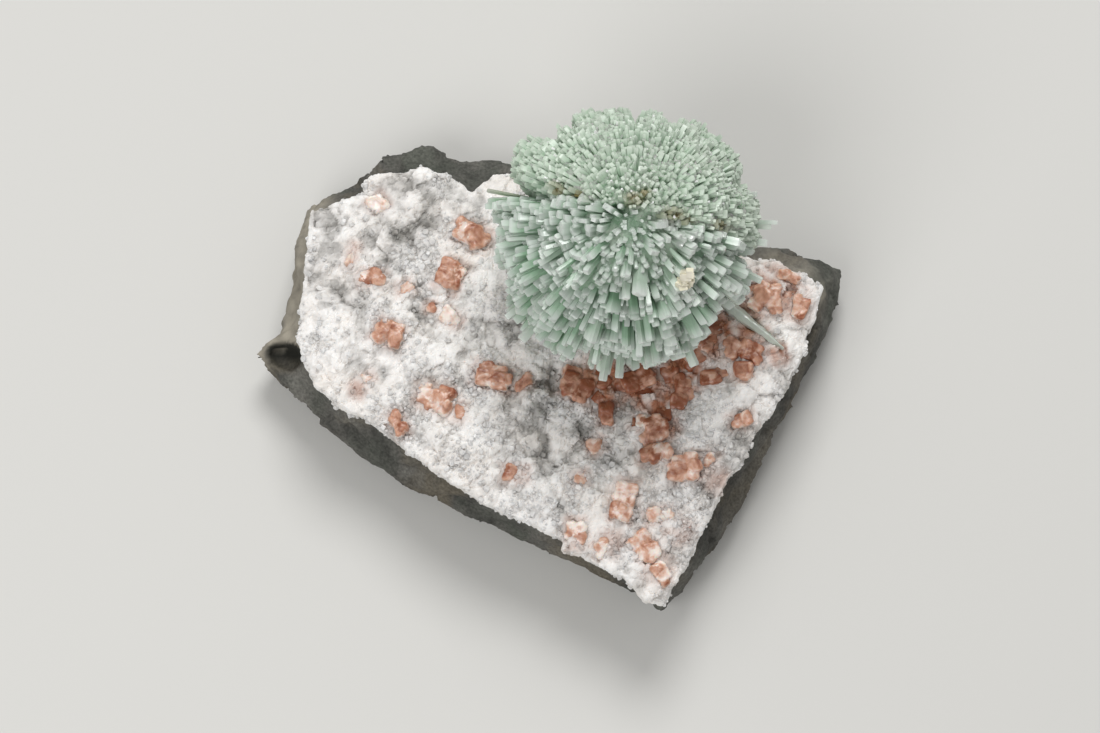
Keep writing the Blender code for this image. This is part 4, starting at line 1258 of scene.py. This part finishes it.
def plateRings(place, long, thick, top, corner):
    # a plate's outline at four levels: straight sides that are worn in towards its top
    x, y = long / 2, thick / 2
    wear = stilbite["round"] * min(x, y)
    rings = []
    for level, inX, inY in ((-stilbite["root"], 0.0, 0.0), (top - corner * 1.2, 0.0, 0.0),
                            (top - corner * 0.35, corner * 0.5, 0.08), (top, corner * 1.3, 0.3)):
        ring = []
        for cx, cy in ((-1, -1), (1, -1), (1, 1), (-1, 1)):
            cornerX, cornerY = cx * (x - inX), cy * (y - inY)
            sides = [(cornerX - cx * wear, cornerY), (cornerX, cornerY - cy * wear)]
            for spot in reversed(sides) if cx == cy else sides:
                ring.append(place @ Vector((*spot, level)) * mm)
        rings.append(ring)
    return rings


def platesInto(bm, seat, paleness, chance):
    # the plates of every block in one crystal group, and the tone of each of their points
    length, width = seat["length"] * stilbite["grow"], seat["width"] * stilbite["grow"]
    base = Matrix.Translation((seat["x"], seat["y"], seat["top"])) @ Matrix.Rotation(seat["turn"], 4, "Z")
    blocks = max(1, round(length / stilbite["block"]))
    plates = max(2, round(width / stilbite["plate"]))
    tones = []
    for i in range(blocks):
        lean = math.radians(chance.gauss(0, stilbite["lean"]))
        swing = math.radians(chance.gauss(0, stilbite["lean"]))
        blockLength = length / blocks * chance.uniform(*stilbite["blockOverlap"])
        blockTop = -abs(chance.gauss(0, stilbite["sunk"])) if blocks > 1 else 0.0
        middle = ((i + 0.5) / blocks - 0.5) * length * 0.92
        blockPlace = base @ Matrix.Translation((middle, 0, blockTop)) @ Matrix.Rotation(swing, 4, "Z")
        blockPlace = blockPlace @ Matrix.Rotation(lean, 4, "Y")
        for j in range(plates):
            thick = width / plates * chance.uniform(*stilbite["plateOverlap"])
            across = ((j + 0.5) / plates - 0.5) * width
            edge = abs((j + 0.5) / plates - 0.5) * 2
            long = blockLength * (1.0 - stilbite["outerShrink"] * edge ** 2)
            long *= chance.uniform(*stilbite["plateLength"])
            top = -stilbite["outerDrop"] * edge ** 2 - chance.uniform(0, stilbite["sunk"])
            slide = chance.gauss(0, stilbite["slide"]) * blockLength
            platePlace = blockPlace @ Matrix.Translation((slide, across, 0))
            platePlace = platePlace @ Matrix.Rotation(math.radians(chance.gauss(0, stilbite["fan"])), 4, "Z")
            before = len(bm.verts)
            loftInto(bm, plateRings(platePlace, long, thick, top, chance.uniform(*stilbite["corner"])))
            tones += [paleness + chance.gauss(0, stilbite["plateToPlate"])] * (len(bm.verts) - before)
    return tones


def makeStilbite(name, seat, paleness):
    chance = random.Random(sum(map(ord, name)) * 7 + round(seat["x"] * 10))
    # painted shadow: the nearer a crystal lies to the ball's foot, the redder and darker its tone
    ballShadow = stilbite["ballShadow"]
    away = math.hypot(seat["x"] - ballShadow["x"], seat["y"] - ballShadow["y"]) / ballShadow["radius"]
    bm = bmesh.new()
    tones = platesInto(bm, seat, paleness - ballShadow["by"] * math.exp(-away * away), chance)
    bmesh.ops.recalc_face_normals(bm, faces=bm.faces)
    places = KDTree(len(tones))
    for i, vertex in enumerate(bm.verts):
        places.insert(vertex.co, i)
    places.balance()
    piece = remesh(newPiece(name, meshFrom(bm, name), stilbiteFinish), stilbite["voxel"])
    mesh = piece.data
    points = pointsOf(mesh)
    for size, height in stilbite["uneven"]:
        rise = height * smoothNoise(points, size, seat["length"] * stilbite["grow"])
        points += normalsOf(mesh) * rise[:, None]
    setPoints(mesh, points)
    near = np.array([tones[places.find(Vector(spot) * mm)[1]] for spot in points])
    depth = (seat["top"] - stilbite["veilFrom"] - points[:, 2]) / stilbite["veilDepth"]
    veil = np.clip(depth + stilbite["veilNoise"] * smoothNoise(points, 1.2, 4.0), 0, 1)
    setAttribute(mesh, "tone", np.clip(near + stilbite["veil"] * veil, 0, 1))
    mesh.shade_smooth()
    return piece


def makeStilbites():
    for nodeName in stilbiteNodes:
        paleness = stilbite["paleness"].get(nodeName, stilbite["usual"])
        piece = makeStilbite(nodeName + "_plates", seats[nodeName], paleness)
        finishPiece(piece, "stilbite", nodeName)
    for name, seat in seats.items():
        if "paleness" in seat:
            finishPiece(makeStilbite(name, seat, seat["paleness"]), "stilbite")
    print("stilbite groups", len(stilbiteNodes) + len(smallStilbites))


makeStilbites()


# Stage: a pale floor and soft lights, brightest from the back
studio = {
    "floor": "#D8D7D3", "floorSize": 3000.0,
    "world": "#ECECEC", "worldStrength": 0.42,
    # place, aim, size and watts of each soft light
    "lights": [((60.0, 520.0, 740.0), (0.0, 0.0, 20.0), 420.0, 4.4),
               ((-240.0, -300.0, 480.0), (0.0, 0.0, 20.0), 380.0, 1.35)],
}


def makeStage():
    # a plain matte floor, which has no shine to draw the eye
    made, tree = newMaterial("matte_floor")
    shader = addNode(tree, "ShaderNodeBsdfPrincipled",
                     {"Base Color": toLinear(studio["floor"]), "Roughness": 0.9, "Specular IOR Level": 0.2})
    addNode(tree, "ShaderNodeOutputMaterial", None, {"Surface": shader.outputs["BSDF"]})
    bm = bmesh.new()
    bmesh.ops.create_grid(bm, x_segments=1, y_segments=1, size=studio["floorSize"] / 2 * mm)
    floor = newPiece("floor", meshFrom(bm, "floor"), made)
    world = bpy.data.worlds.new("studio")
    world.use_nodes = True
    ground = world.node_tree.nodes["Background"]
    ground.inputs["Color"].default_value = toLinear(studio["world"])
    ground.inputs["Strength"].default_value = studio["worldStrength"]
    bpy.context.scene.world = world
    for number, (place, goal, size, watts) in enumerate(studio["lights"], 1):
        light = bpy.data.lights.new(f"soft_light_{number}", "AREA")
        light.shape = "DISK"
        light.size = size * mm
        light.energy = watts
        holder = bpy.data.objects.new(light.name, light)
        holder.location = Vector(place) * mm
        holder.rotation_euler = ((Vector(goal) - Vector(place)) * mm).to_track_quat("-Z", "Y").to_euler()
        bpy.context.scene.collection.objects.link(holder)
    bpy.context.scene.view_settings.view_transform = "Standard"


makeStage()
print("stage set")
